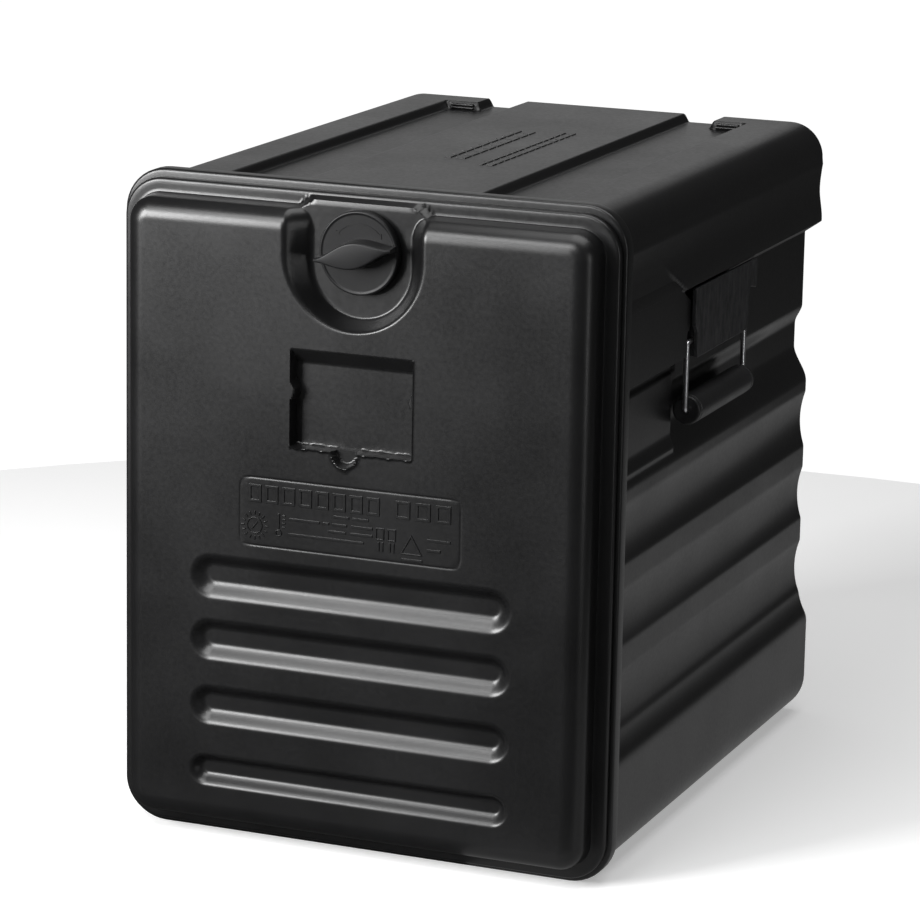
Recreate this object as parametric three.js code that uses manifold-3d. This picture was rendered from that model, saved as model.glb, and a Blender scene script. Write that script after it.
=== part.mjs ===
// Front-loading insulated food carrier: a foam-filled double-wall box for gastronorm pans,
// with a hook-on door that tilts forward, a rotary latch and two folding side handles.
// Units are millimetres. X is right, Y runs from the door to the back, Z is up, and the
// origin is on the floor under the centre of the whole carrier.

import * as THREE from "three";
import { mergeVertices } from "three/addons/utils/BufferGeometryUtils.js";
import Module from "manifold-3d";

const wasm = await Module();
wasm.setup();

// ---------- driving dimensions ----------

const GAP = 0.3;                 // clearance between touching pieces
const WALL = 3.5;                // moulded wall thickness
const BIG = 2000;                // reach of a cutting block
const SCREW_RADIUS = 2;
const FLANGE_Y = -270;           // front face of the body flange
const BACK_Y = FLANGE_Y + 583;
const FLANGE_DEPTH = 16;
const FLANGE = { halfWidth: 235, low: 0, high: 598, radius: 39 };
const BODY_TOP = 591;
const BODY_HALF_WIDTH = 226.5;   // at the overhang and the base band
const BASE_RADIUS = 38;
const TOP_RADIUS = 33;
const TOP_SIDE = 224.9;          // half-width where the side rounds into the top

const WALL_FACE = 216.7;         // side wall between the scallops
const UPPER_WALL_FACE = 210;     // side wall behind the handle
const GRIP_SCALLOP_FACE = 203.2;
const SCALLOP_DEPTH = 4.6;
const SCALLOPS = [{ z: 150, half: 26 }, { z: 224.6, half: 26 }, { z: 299.5, half: 27 }];

const PLATEAU_HALF_WIDTH = 84;
const RAIL_INNER = 156;
const CHANNEL_FLOOR = 583;
const CHANNEL_START = FLANGE_Y + 50;
const STOP_INNER = 121;
const STOP_LENGTH = 38;

const CAVITY = { halfWidth: 168.5, low: 55, high: 512, radius: 18 };
const CAVITY_BACK = FLANGE_Y + 548;
const LIP = { halfWidth: 205, low: 30, high: 577, radius: 20 };
const LIP_THICKNESS = 4;
const RUNNER_COUNT = 11;
const RUNNER_PITCH = 38;
const RUNNER_FIRST = 88;
const RUNNER_REACH = 12;
const RUNNER_HEIGHT = 9;

const DOOR_LIP = { halfWidth: 231.3, low: 4.8, high: 591, radius: 36 };
const DOOR_RIM_Y = FLANGE_Y - 8;
const DOOR_BACK_Y = FLANGE_Y - 1.5;
const DOOR_FACE_Y = FLANGE_Y - 38;
const PANEL = { halfWidth: 218, low: 19, high: 577, radius: 30 };
const PANEL_FILLET = 17;
const FILLET_STEPS = 5;
const PLUG = { halfWidth: 161, low: 61, high: 505, radius: 14 };
const PLUG_DEPTH = 18;
const SEAL = { halfWidth: 184, low: 40, high: 528, radius: 26 };
const SEAL_WIDTH = 9;
const SEAL_DEPTH = 4.6;

const KNOB_Z = 543.5;
const RECESS_Y = FLANGE_Y - 16.5;
const RECESS_HALF_WIDTH = 47;
const RECESS_FLARE = 14;
const RECESS_DROP = 8;             // its round end is centred this far below the knob
const RECESS_PAD_TOP = 585;
const KNOB_RADIUS = 36.75;
const KNOB_DISC = 9.5;
const KNOB_GRIP_HALF_WIDTH = 11.5;
const KNOB_GRIP_REACH = 17;
const KNOB_TILT = THREE.MathUtils.degToRad(11);
const SHAFT_RADIUS = 6;
const BUSH_RADIUS = 9;
const CAM_FRONT = FLANGE_Y + 3.2;
const CAM_THICKNESS = 4;
const CAM_REACH = 26;
const CAM_HALF_WIDTH = 8.5;
const LATCH_POCKET = { halfWidth: 32, low: 529, high: 572, depth: 20 };
const KEEPER = { halfWidth: 58, low: 556.5, high: 574, thickness: 2 };
const KEEPER_SCREW_X = 48;
const KEEPER_SCREW_Z = 565;

const CARD = { halfWidth: 57.5, low: 370.6, high: 457.6, depth: 12.4 };
const THUMB_NOTCH = { x: -5.5, radius: 13, depth: 7 };
const PLATE = { halfWidth: 104, low: 279, high: 340, radius: 9, groove: 1.2, line: 2 };
const GROOVE_HALF_LENGTH = 152;
const GROOVE_DEPTH = 8;
const GROOVE_SLOPE = 9;
const GROOVES = [[52.6, 82.1], [109.6, 146.1], [169.1, 207.1], [225.6, 266.1]];

const HOOK_X = 120;
const HOOK_HALF_WIDTH = 24;
const HOOK_PIVOT_Y = FLANGE_Y + 1.75;
const HOOK_PIVOT_Z = 6.25;
const HOOK_SCREW_SPACING = 15;
const HOOK_SCREW_Z = 17;
const HOOK = { thickness: 2.5, low: 8.6, shelf: 12.2, top: 24, tip: 5.8, back: FLANGE_Y + 8.4 };
const SOCKET = { halfWidth: 25, low: 3.9, high: 24.3, back: FLANGE_Y + 18, wall: 1.5, lip: 1.6 };

const HANDLE_X = 221;
const HANDLE_PIVOT_Z = 445;
const HANDLE_Y = [FLANGE_Y + 201, FLANGE_Y + 362];
const WIRE_RADIUS = 2.5;
const PIVOT_LENGTH = 36;
const GRIP_Z = 382.5;
const GRIP_RADIUS = 13.5;
const GRIP_END_ROUND = 3;
const BRACKET_Y = [FLANGE_Y + 205.5, FLANGE_Y + 354];
const BRACKET_Z = [430, 493.5];
const BRACKET_FACE = 228;
const BRACKET_BLOCK_TOP = 480;
const BRACKET_PLATE = 5;
const BRACKET_TAB = { reach: 23, height: 36 };
const BRACKET_NOTCH = { depth: 6, height: 27 };
const SIDE_PANEL = { face: 223, end: FLANGE_Y + 196.5, low: 430, high: 494 };
const SIDE_PAD = { face: 211.5, end: FLANGE_Y + 194, low: 362, high: 420 };

// ---------- materials ----------

const plastic = (color, roughness) => new THREE.MeshStandardMaterial({ color, roughness, metalness: 0 });
const steel = (roughness) => new THREE.MeshStandardMaterial({ color: 0xb9bcc0, roughness, metalness: 1 });
const shellPlastic = plastic(0x17181a, 0.42);
const linerPlastic = plastic(0x1b1c1e, 0.5);
const knobPlastic = plastic(0x101113, 0.35);
const gripPlastic = plastic(0x141516, 0.55);
const sealRubber = plastic(0x26282a, 0.8);
const foam = plastic(0xd9c48a, 0.9);
const bearingPlastic = plastic(0xd8d6cf, 0.5);
const brightWire = steel(0.2);
const plateSteel = steel(0.35);

// ---------- solids ----------

// A geometry as a solid that can be cut and joined.
function solid(geometry) {
  const bare = geometry.clone();
  bare.deleteAttribute("normal");
  bare.deleteAttribute("uv");
  const merged = mergeVertices(bare, 1e-4);
  return new wasm.Manifold(new wasm.Mesh({
    numProp: 3,
    vertProperties: new Float32Array(merged.attributes.position.array),
    triVerts: new Uint32Array(merged.index.array),
  }));
}

function join(...solids) {
  return solids.reduce((whole, piece) => whole.add(piece));
}

function cut(body, ...tools) {
  return tools.reduce((whole, tool) => whole.subtract(tool), body);
}

const carrier = new THREE.Group();

// Adds a finished solid to the carrier as a named sub-part.
function place(name, material, body) {
  const mesh = body.getMesh();
  const geometry = new THREE.BufferGeometry();
  geometry.setAttribute("position", new THREE.BufferAttribute(mesh.vertProperties, 3));
  geometry.setIndex(new THREE.BufferAttribute(mesh.triVerts, 1));
  const part = new THREE.Mesh(geometry, material);
  part.name = name;
  carrier.add(part);
}

// ---------- outlines in the XZ plane ----------

function roundedRect({ halfWidth, low, high, radius }, grow = 0) {
  const w = halfWidth + grow;
  const bottom = low - grow;
  const top = high + grow;
  const r = Math.max(radius + grow, 1);
  const outline = new THREE.Shape();
  outline.moveTo(-w + r, bottom);
  outline.lineTo(w - r, bottom);
  outline.absarc(w - r, bottom + r, r, -Math.PI / 2, 0);
  outline.lineTo(w, top - r);
  outline.absarc(w - r, top - r, r, 0, Math.PI / 2);
  outline.lineTo(-w + r, top);
  outline.absarc(-w + r, top - r, r, Math.PI / 2, Math.PI);
  outline.lineTo(-w, bottom + r);
  outline.absarc(-w + r, bottom + r, r, Math.PI, 1.5 * Math.PI);
  return outline;
}

// An XZ outline pushed along Y, with its front or back edge rounded inwards.
function prism(outline, front, back, { frontRound = 0, backRound = 0, steps = 3, arcs = 5 } = {}) {
  const bevel = Math.max(frontRound, backRound);
  const geometry = new THREE.ExtrudeGeometry(outline, {
    depth: back - front - (frontRound ? bevel : 0) - (backRound ? bevel : 0),
    bevelEnabled: bevel > 0,
    bevelThickness: bevel,
    bevelSize: bevel,
    bevelOffset: -bevel,
    bevelSegments: steps,
    curveSegments: arcs,
  });
  geometry.rotateX(Math.PI / 2);
  geometry.translate(0, back - (backRound ? bevel : 0), 0);
  const body = solid(geometry);
  return bevel ? body.intersect(block(-BIG, BIG, front, back, -BIG, BIG)) : body;
}

function block(x0, x1, y0, y1, z0, z1) {
  const geometry = new THREE.BoxGeometry(x1 - x0, y1 - y0, z1 - z0);
  geometry.translate((x0 + x1) / 2, (y0 + y1) / 2, (z0 + z1) / 2);
  return solid(geometry);
}

// A ring between two grown copies of one rounded rectangle.
function ring(rect, outer, inner, front, back) {
  return cut(
    prism(roundedRect(rect, outer), front, back),
    prism(roundedRect(rect, inner), front - 1, back + 1),
  );
}

// A round bar along Y.
function barY(x, z, radius, y0, y1, sides = 24) {
  const geometry = new THREE.CylinderGeometry(radius, radius, y1 - y0, sides);
  geometry.translate(x, (y0 + y1) / 2, z);
  return solid(geometry);
}

// A YZ outline pushed along X between two X positions.
function slabX(outline, x0, x1) {
  const depth = x1 - x0;
  const geometry = new THREE.ExtrudeGeometry(outline, { depth, bevelEnabled: false, curveSegments: 5 });
  geometry.rotateX(Math.PI / 2);
  geometry.rotateZ(Math.PI / 2);
  geometry.translate(x0, 0, 0);
  return solid(geometry);
}

// ---------- body ----------

// The carrier's cross-section, the same all the way back: a base band, three shallow scallops, a
// deep one behind the handle grip, and an overhang that rounds into the top.
function wallOutline(inset = 0) {
  const right = [];
  const add = (x, z) => right.push([x - inset, z]);
  const addArc = (x, z, radius, start) => {
    for (let i = 0; i <= 6; i += 1) {
      const angle = start + (i / 6) * (Math.PI / 2);
      right.push([x + (radius - inset) * Math.cos(angle), z + (radius - inset) * Math.sin(angle)]);
    }
  };
  addArc(BODY_HALF_WIDTH - BASE_RADIUS, BASE_RADIUS, BASE_RADIUS, -Math.PI / 2);
  add(BODY_HALF_WIDTH, 97 - inset / 2);
  add(WALL_FACE, 118 - inset / 2);
  for (const { z, half } of SCALLOPS) {
    for (let u = -1; u <= 1; u += 0.25) add(WALL_FACE - SCALLOP_DEPTH * (1 - u * u), z + half * u);
  }
  add(WALL_FACE, 345 - inset / 2);
  add(GRIP_SCALLOP_FACE + 2, 361 - inset / 2);
  add(GRIP_SCALLOP_FACE, 372);
  add(GRIP_SCALLOP_FACE, 390);
  add(GRIP_SCALLOP_FACE + 2, 402);
  add(UPPER_WALL_FACE, 412);
  add(UPPER_WALL_FACE, 485 + inset);
  add(BODY_HALF_WIDTH - 1, 495.5 + inset);
  add(BODY_HALF_WIDTH, 498 + inset / 2);
  add(BODY_HALF_WIDTH - 3.2, 528);
  addArc(TOP_SIDE - TOP_RADIUS, BODY_TOP - TOP_RADIUS, TOP_RADIUS, 0);
  const left = right.map(([x, z]) => [-x, z]).reverse();
  return new THREE.Shape([...right, ...left].map(([x, z]) => new THREE.Vector2(x, z)));
}

// The foam space between the shells, cleared by the given margin.
function foamSpace(margin) {
  const space = prism(wallOutline(WALL + margin), FLANGE_Y + LIP_THICKNESS + margin, BACK_Y - WALL - margin);
  return cut(space, block(-BIG, BIG, -BIG, BIG, CHANNEL_FLOOR - WALL - margin, BIG));
}

function raisedSidePads() {
  const pads = [];
  for (const side of [-1, 1]) {
    for (const { face, end, low, high } of [SIDE_PANEL, SIDE_PAD]) {
      const x = [side * (GRIP_SCALLOP_FACE - 1), side * face].sort((a, b) => a - b);
      pads.push(block(x[0], x[1], FLANGE_Y + 2, end, low, high));
    }
  }
  return pads;
}

function topChannels() {
  const cuts = [];
  for (const side of [-1, 1]) {
    const x = [side * PLATEAU_HALF_WIDTH, side * RAIL_INNER].sort((a, b) => a - b);
    const stop = [side * STOP_INNER, side * RAIL_INNER].sort((a, b) => a - b);
    cuts.push(cut(
      block(x[0], x[1], CHANNEL_START, BIG, CHANNEL_FLOOR, BIG),
      block(stop[0], stop[1], BACK_Y - STOP_LENGTH, BIG, CHANNEL_FLOOR - 1, BIG),
    ));
  }
  return cuts;
}

function hookWindow(x, margin) {
  const reach = SOCKET.halfWidth + margin;
  return block(
    x - reach, x + reach, FLANGE_Y - 1, SOCKET.back + margin, SOCKET.low - margin, SOCKET.high + margin,
  );
}

function outerShell() {
  const flange = prism(roundedRect(FLANGE), FLANGE_Y, FLANGE_Y + FLANGE_DEPTH, { frontRound: 2.5 });
  const trunk = prism(wallOutline(), FLANGE_Y + 1, BACK_Y, { backRound: 4, steps: 2 });
  const whole = join(flange, trunk, ...raisedSidePads());
  const opening = prism(roundedRect(LIP, GAP), FLANGE_Y - 1, FLANGE_Y + LIP_THICKNESS + 1);
  const windows = [-HOOK_X, HOOK_X].map((x) => hookWindow(x, GAP));
  return cut(whole, ...topChannels(), foamSpace(0), opening, ...windows);
}

// ---------- liner ----------

function keeperBoss(x, radius, back) {
  return barY(x, KEEPER_SCREW_Z, radius, FLANGE_Y + 1, FLANGE_Y + back, 16);
}

function linerOutside(margin) {
  const box = prism(roundedRect(CAVITY, WALL + margin), FLANGE_Y + 1, CAVITY_BACK + WALL + margin);
  const { halfWidth, low, high, depth } = LATCH_POCKET;
  const pocket = block(
    -halfWidth - 3 - margin, halfWidth + 3 + margin,
    FLANGE_Y + 1, FLANGE_Y + depth + 3 + margin,
    low - 3 - margin, high + 3 + margin,
  );
  const bosses = [-KEEPER_SCREW_X, KEEPER_SCREW_X].map((x) => keeperBoss(x, 5 + margin, 16 + margin));
  return join(box, pocket, ...bosses);
}

function runner(side, z) {
  const wall = side * (CAVITY.halfWidth + 1);
  const edge = side * (CAVITY.halfWidth - RUNNER_REACH);
  const ends = [wall, edge].sort((a, b) => a - b);
  return block(ends[0], ends[1], FLANGE_Y + 30, CAVITY_BACK + 1, z, z + RUNNER_HEIGHT);
}

function innerLiner() {
  const lip = prism(roundedRect(LIP), FLANGE_Y, FLANGE_Y + LIP_THICKNESS);
  const { halfWidth, low, high, depth } = LATCH_POCKET;
  const hollow = prism(roundedRect(CAVITY), FLANGE_Y - 1, CAVITY_BACK);
  const pocket = block(-halfWidth, halfWidth, FLANGE_Y - 1, FLANGE_Y + depth, low, high);
  const seat = block(
    -KEEPER.halfWidth - GAP, KEEPER.halfWidth + GAP,
    FLANGE_Y - 1, FLANGE_Y + KEEPER.thickness + GAP,
    KEEPER.low - GAP, KEEPER.high + GAP,
  );
  const holes = [-KEEPER_SCREW_X, KEEPER_SCREW_X].map((x) => (
    barY(x, KEEPER_SCREW_Z, SCREW_RADIUS + GAP, FLANGE_Y - 1, FLANGE_Y + 14, 16)
  ));
  const tub = cut(join(lip, linerOutside(0)), hollow, pocket, seat, ...holes);
  const runners = [];
  for (let i = 0; i < RUNNER_COUNT; i += 1) {
    const z = RUNNER_FIRST + i * RUNNER_PITCH;
    runners.push(runner(-1, z), runner(1, z));
  }
  return join(tub, ...runners);
}

function bodyFoam() {
  const sockets = [-HOOK_X, HOOK_X].map((x) => hookWindow(x, 2 * GAP));
  return cut(foamSpace(GAP), linerOutside(GAP), ...sockets);
}

// ---------- latch keeper and screws ----------

// A countersunk screw along Y: the head is flush at headY and the shank runs towards way.
function screw(x, z, headY, way, length) {
  const profile = [[0, 0], [2 * SCREW_RADIUS, 0], [SCREW_RADIUS, 1.8], [SCREW_RADIUS, length], [0, length]];
  const geometry = new THREE.LatheGeometry(profile.map(([r, h]) => new THREE.Vector2(r, h)), 16);
  if (way < 0) geometry.rotateX(Math.PI);
  geometry.translate(x, headY, z);
  return solid(geometry);
}

function screwSeat(x, z, headY, way, length) {
  const flare = 2 * SCREW_RADIUS + GAP;
  const shank = SCREW_RADIUS + GAP;
  const profile = [[0, -1], [flare, -1], [flare, 0.3], [shank, 2.1], [shank, length], [0, length]];
  const geometry = new THREE.LatheGeometry(profile.map(([r, h]) => new THREE.Vector2(r, h)), 16);
  if (way < 0) geometry.rotateX(Math.PI);
  geometry.translate(x, headY, z);
  return solid(geometry);
}

function latchKeeper() {
  const { halfWidth, low, high, thickness } = KEEPER;
  const plate = block(-halfWidth, halfWidth, FLANGE_Y, FLANGE_Y + thickness, low, high);
  const seats = [-1, 1].map((side) => screwSeat(side * KEEPER_SCREW_X, KEEPER_SCREW_Z, FLANGE_Y, 1, 5));
  return cut(plate, ...seats);
}

// ---------- bottom hooks and their sockets ----------

// A boxed socket whose low front lip is the edge that the door's hook tilts on.
function hookSocket(x) {
  const { halfWidth, low, high, back, wall, lip } = SOCKET;
  const inside = halfWidth - wall;
  const roof = high - wall;
  const shell = block(x - halfWidth, x + halfWidth, FLANGE_Y + GAP, back, low, high);
  const room = block(x - inside, x + inside, FLANGE_Y + 2 * wall, back - wall, low + wall, roof);
  const mouth = block(x - inside, x + inside, FLANGE_Y - 1, FLANGE_Y + 4, HOOK_PIVOT_Z, roof);
  const edge = new THREE.CylinderGeometry(lip, lip, 2 * inside, 16);
  edge.rotateZ(Math.PI / 2);
  edge.translate(x, HOOK_PIVOT_Y + 0.15, HOOK_PIVOT_Z);
  return join(cut(shell, room, mouth), solid(edge));
}

function hookOutline() {
  const { thickness, low, shelf, top, tip, back } = HOOK;
  const outline = new THREE.Shape();
  outline.moveTo(DOOR_BACK_Y - thickness, low);
  outline.lineTo(back - 4.2, low);
  outline.lineTo(back - 4.2, tip + 0.6);
  outline.lineTo(back - thickness, tip);
  outline.lineTo(back, tip + 1.6);
  outline.lineTo(back, shelf - 1.8);
  outline.quadraticCurveTo(back, shelf, back - thickness, shelf);
  outline.lineTo(DOOR_BACK_Y, shelf);
  outline.lineTo(DOOR_BACK_Y, top);
  outline.lineTo(DOOR_BACK_Y - thickness, top);
  return outline;
}

function doorHook(x) {
  const hook = slabX(hookOutline(), x - HOOK_HALF_WIDTH + 2, x + HOOK_HALF_WIDTH - 2);
  return cut(hook, ...hookScrewXs(x).map((at) => screwSeat(at, HOOK_SCREW_Z, DOOR_BACK_Y, -1, 5)));
}

function hookScrewXs(x) {
  return [x - HOOK_SCREW_SPACING, x + HOOK_SCREW_SPACING];
}

// ---------- door ----------

// The U-shaped knob recess, open at the top of the door and flaring out to the face.
// Grow widens it all round, which leaves a wall when the hollow behind is cut back by it.
function knobRecess(grow) {
  const floorWidth = RECESS_HALF_WIDTH + grow;
  const depth = RECESS_Y - DOOR_FACE_Y;
  const outline = new THREE.Shape();
  outline.moveTo(floorWidth, DOOR_LIP.high + RECESS_FLARE + 20);
  outline.lineTo(-floorWidth, DOOR_LIP.high + RECESS_FLARE + 20);
  outline.lineTo(-floorWidth, KNOB_Z - RECESS_DROP);
  outline.absarc(0, KNOB_Z - RECESS_DROP, floorWidth, Math.PI, 2 * Math.PI);
  const from = (y) => {
    const widest = new THREE.ExtrudeGeometry(outline, {
      depth: 1,
      bevelEnabled: true,
      bevelThickness: depth,
      bevelSize: RECESS_FLARE,
      bevelSegments: 1,
      curveSegments: 12,
    });
    widest.rotateX(Math.PI / 2);
    widest.translate(0, y, 0);
    return solid(widest).intersect(block(-BIG, BIG, y - 0.5, BIG, -BIG, BIG));
  };
  return grow ? join(from(DOOR_FACE_Y), from(DOOR_FACE_Y + grow)) : from(DOOR_FACE_Y);
}

// A shallow pocket in the door face, its edges sloping in by the given amount.
function facePocket(rect, depth, grow, slope) {
  const outline = roundedRect(rect, grow - slope);
  const geometry = new THREE.ExtrudeGeometry(outline, {
    depth: 1,
    bevelEnabled: true,
    bevelThickness: depth + grow,
    bevelSize: slope,
    bevelSegments: 1,
    curveSegments: 3,
  });
  geometry.rotateX(Math.PI / 2);
  geometry.translate(0, DOOR_FACE_Y, 0);
  return solid(geometry).intersect(block(-BIG, BIG, DOOR_FACE_Y - 0.5, BIG, -BIG, BIG));
}

function faceCuts(grow) {
  const card = facePocket({ ...CARD, radius: 2 }, CARD.depth, grow, 2);
  const { x, radius, depth } = THUMB_NOTCH;
  const notch = barY(x, CARD.low, radius + grow, DOOR_FACE_Y - 1, DOOR_FACE_Y + depth + grow);
  const grooves = GROOVES.map(([low, high]) => {
    const rect = { halfWidth: GROOVE_HALF_LENGTH, low, high, radius: (high - low) / 2.2 };
    return facePocket(rect, GROOVE_DEPTH, grow, GROOVE_SLOPE);
  });
  return [knobRecess(grow), card, notch, ...grooves];
}

// The foam space inside the door, cleared by the given margin.
function doorSpace(margin) {
  const rim = prism(roundedRect(DOOR_LIP, -WALL - margin), DOOR_RIM_Y + WALL + margin, DOOR_BACK_Y);
  const panel = prism(roundedRect(PANEL, -WALL - margin), DOOR_FACE_Y + WALL + margin, DOOR_BACK_Y, {
    frontRound: PANEL_FILLET - WALL - margin, steps: FILLET_STEPS,
  });
  return cut(join(rim, panel), ...faceCuts(WALL + margin));
}

function plateLine() {
  const edge = PLATE;
  const outer = prism(roundedRect(edge), DOOR_FACE_Y - 1, DOOR_FACE_Y + PLATE.groove);
  const inner = prism(roundedRect(edge, -PLATE.line), DOOR_FACE_Y - 2, DOOR_FACE_Y + PLATE.groove + 1);
  return cut(outer, inner);
}

function bushHole(radius) {
  return barY(0, KNOB_Z, radius, DOOR_FACE_Y, FLANGE_Y + 30, 32);
}

function hookScrewHoles() {
  return [-HOOK_X, HOOK_X].flatMap(hookScrewXs).map((x) => (
    barY(x, HOOK_SCREW_Z, SCREW_RADIUS + GAP, DOOR_RIM_Y + 0.8, DOOR_BACK_Y + 1, 16)
  ));
}

function doorOuterShell() {
  const lip = prism(roundedRect(DOOR_LIP), DOOR_RIM_Y, DOOR_BACK_Y, { frontRound: 3 });
  const panel = prism(roundedRect(PANEL), DOOR_FACE_Y, DOOR_BACK_Y, {
    frontRound: PANEL_FILLET, steps: FILLET_STEPS,
  });
  const half = RECESS_HALF_WIDTH;
  const pad = block(-half, half, RECESS_Y, DOOR_BACK_Y - 3, KNOB_Z, RECESS_PAD_TOP);
  const whole = cut(join(lip, panel, pad), ...faceCuts(0));
  return cut(whole, doorSpace(0), plateLine(), bushHole(BUSH_RADIUS + GAP), ...hookScrewHoles());
}

function hookNotch(x) {
  return block(x - HOOK_HALF_WIDTH, x + HOOK_HALF_WIDTH, FLANGE_Y - 20, FLANGE_Y, 0, HOOK.top + GAP);
}

function plugBody(grow, back) {
  return prism(roundedRect(PLUG, grow), DOOR_BACK_Y - 2.5, back);
}

function sealChannel(margin) {
  const wall = 3 + margin;
  return ring(SEAL, wall, -SEAL_WIDTH - wall, DOOR_BACK_Y - SEAL_DEPTH - wall, DOOR_BACK_Y);
}

function doorInnerShell() {
  const sheet = prism(roundedRect(DOOR_LIP, -WALL - GAP), DOOR_BACK_Y - 2.5, DOOR_BACK_Y);
  const plug = plugBody(0, FLANGE_Y + PLUG_DEPTH);
  const plugRoom = prism(roundedRect(PLUG, -3), DOOR_BACK_Y - 10, FLANGE_Y + PLUG_DEPTH - 3);
  const groove = ring(SEAL, GAP, -SEAL_WIDTH - GAP, DOOR_BACK_Y - SEAL_DEPTH, DOOR_BACK_Y + 1);
  const notches = [-HOOK_X, HOOK_X].map(hookNotch);
  return cut(join(sheet, plug, sealChannel(0)), plugRoom, groove, bushHole(BUSH_RADIUS + GAP), ...notches);
}

function doorFoam() {
  const core = cut(doorSpace(GAP), block(-BIG, BIG, DOOR_BACK_Y - 2.5 - GAP, BIG, -BIG, BIG));
  const plug = prism(roundedRect(PLUG, -3 - GAP), DOOR_BACK_Y - 10, FLANGE_Y + PLUG_DEPTH - 3 - GAP);
  return cut(join(core, plug), sealChannel(GAP), bushHole(BUSH_RADIUS + GAP));
}

function doorSeal() {
  return ring(SEAL, 0, -SEAL_WIDTH, DOOR_BACK_Y - SEAL_DEPTH + GAP, FLANGE_Y - GAP);
}

// ---------- latch ----------

function turned(x, z) {
  const c = Math.cos(KNOB_TILT);
  const s = Math.sin(KNOB_TILT);
  return [x * c - z * s, KNOB_Z + x * s + z * c];
}

function squareBar(halfSide, y0, y1) {
  const outline = new THREE.Shape([[-1, -1], [1, -1], [1, 1], [-1, 1]].map(([x, z]) => (
    new THREE.Vector2(...turned(x * halfSide, z * halfSide))
  )));
  return prism(outline, y0, y1);
}

// The leaf-shaped finger grip across the knob, as deep as the knob is wide.
function gripOutline() {
  const steps = 12;
  const edge = [];
  for (let i = 0; i <= steps; i += 1) {
    const along = -1 + (2 * i) / steps;
    const half = 2 + (KNOB_GRIP_HALF_WIDTH - 2) * (0.5 + 0.5 * Math.cos(Math.PI * along));
    edge.push([along * (KNOB_RADIUS - 0.5), half]);
  }
  const far = edge.map(([x, z]) => [x, -z]).reverse();
  return new THREE.Shape([...edge, ...far].map(([x, z]) => new THREE.Vector2(...turned(x, z))));
}

function knob() {
  const disc = barY(0, KNOB_Z, KNOB_RADIUS, RECESS_Y - KNOB_DISC, RECESS_Y - GAP, 48);
  const grip = prism(gripOutline(), RECESS_Y - KNOB_DISC - KNOB_GRIP_REACH, RECESS_Y - KNOB_DISC + 1, {
    frontRound: 1.5, steps: 2,
  });
  const counterbore = barY(0, KNOB_Z, BUSH_RADIUS + 4, RECESS_Y - 2, RECESS_Y + 1, 32);
  const socket = squareBar(4 + GAP, RECESS_Y - 8, RECESS_Y);
  return cut(join(disc, grip), counterbore, socket);
}

function knobShaft() {
  return join(
    squareBar(4, RECESS_Y - 7.5, CAM_FRONT + CAM_THICKNESS + 0.5),
    barY(0, KNOB_Z, SHAFT_RADIUS, RECESS_Y - 1.5, CAM_FRONT - GAP),
  ).subtract(barY(0, KNOB_Z, SCREW_RADIUS + GAP, CAM_FRONT - 6, CAM_FRONT + 20, 12));
}

function latchBush() {
  const tube = join(
    barY(0, KNOB_Z, BUSH_RADIUS, RECESS_Y - 1.5, DOOR_BACK_Y, 32),
    barY(0, KNOB_Z, BUSH_RADIUS + 3, RECESS_Y - 1.5, RECESS_Y - GAP, 32),
  );
  return cut(tube, barY(0, KNOB_Z, SHAFT_RADIUS + GAP, RECESS_Y - 10, FLANGE_Y + 10, 32));
}

function latchCam() {
  const hub = barY(0, KNOB_Z, CAM_HALF_WIDTH + 3, CAM_FRONT, CAM_FRONT + CAM_THICKNESS);
  const [tipX, tipZ] = turned(CAM_HALF_WIDTH - CAM_REACH, 0);
  const tip = barY(tipX, tipZ, CAM_HALF_WIDTH, CAM_FRONT, CAM_FRONT + CAM_THICKNESS);
  const reach = CAM_REACH - CAM_HALF_WIDTH;
  const armOutline = new THREE.Shape([[-reach, -1], [0, -1], [0, 1], [-reach, 1]].map(([x, z]) => (
    new THREE.Vector2(...turned(x, z * CAM_HALF_WIDTH))
  )));
  const arm = prism(armOutline, CAM_FRONT, CAM_FRONT + CAM_THICKNESS);
  return cut(join(hub, tip, arm), squareBar(4 + GAP, CAM_FRONT - 1, CAM_FRONT + CAM_THICKNESS + 1));
}

function camScrew() {
  const back = CAM_FRONT + CAM_THICKNESS + 0.5 + GAP;
  return join(
    barY(0, KNOB_Z, 7, back, back + 2.5, 16),
    barY(0, KNOB_Z, SCREW_RADIUS, CAM_FRONT - 5, back + 1, 12),
  );
}

// ---------- side handles ----------

// A bar along Z, and a ball that rounds a bend in the wire.
function barZ(x, y, radius, z0, z1) {
  const geometry = new THREE.CylinderGeometry(radius, radius, z1 - z0, 12);
  geometry.rotateX(Math.PI / 2);
  geometry.translate(x, y, (z0 + z1) / 2);
  return solid(geometry);
}

function bend(x, y, z) {
  const geometry = new THREE.SphereGeometry(WIRE_RADIUS, 12, 8);
  geometry.translate(x, y, z);
  return solid(geometry);
}

function bailWire(side) {
  const x = side * HANDLE_X;
  const [front, back] = HANDLE_Y;
  const pieces = [
    barY(x, GRIP_Z, WIRE_RADIUS, front, back, 12),
    barY(x, HANDLE_PIVOT_Z, WIRE_RADIUS, front, front + PIVOT_LENGTH, 12),
    barY(x, HANDLE_PIVOT_Z, WIRE_RADIUS, back - PIVOT_LENGTH, back, 12),
  ];
  for (const y of [front, back]) {
    pieces.push(barZ(x, y, WIRE_RADIUS, GRIP_Z, HANDLE_PIVOT_Z));
    pieces.push(bend(x, y, GRIP_Z), bend(x, y, HANDLE_PIVOT_Z));
  }
  return join(...pieces);
}

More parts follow.
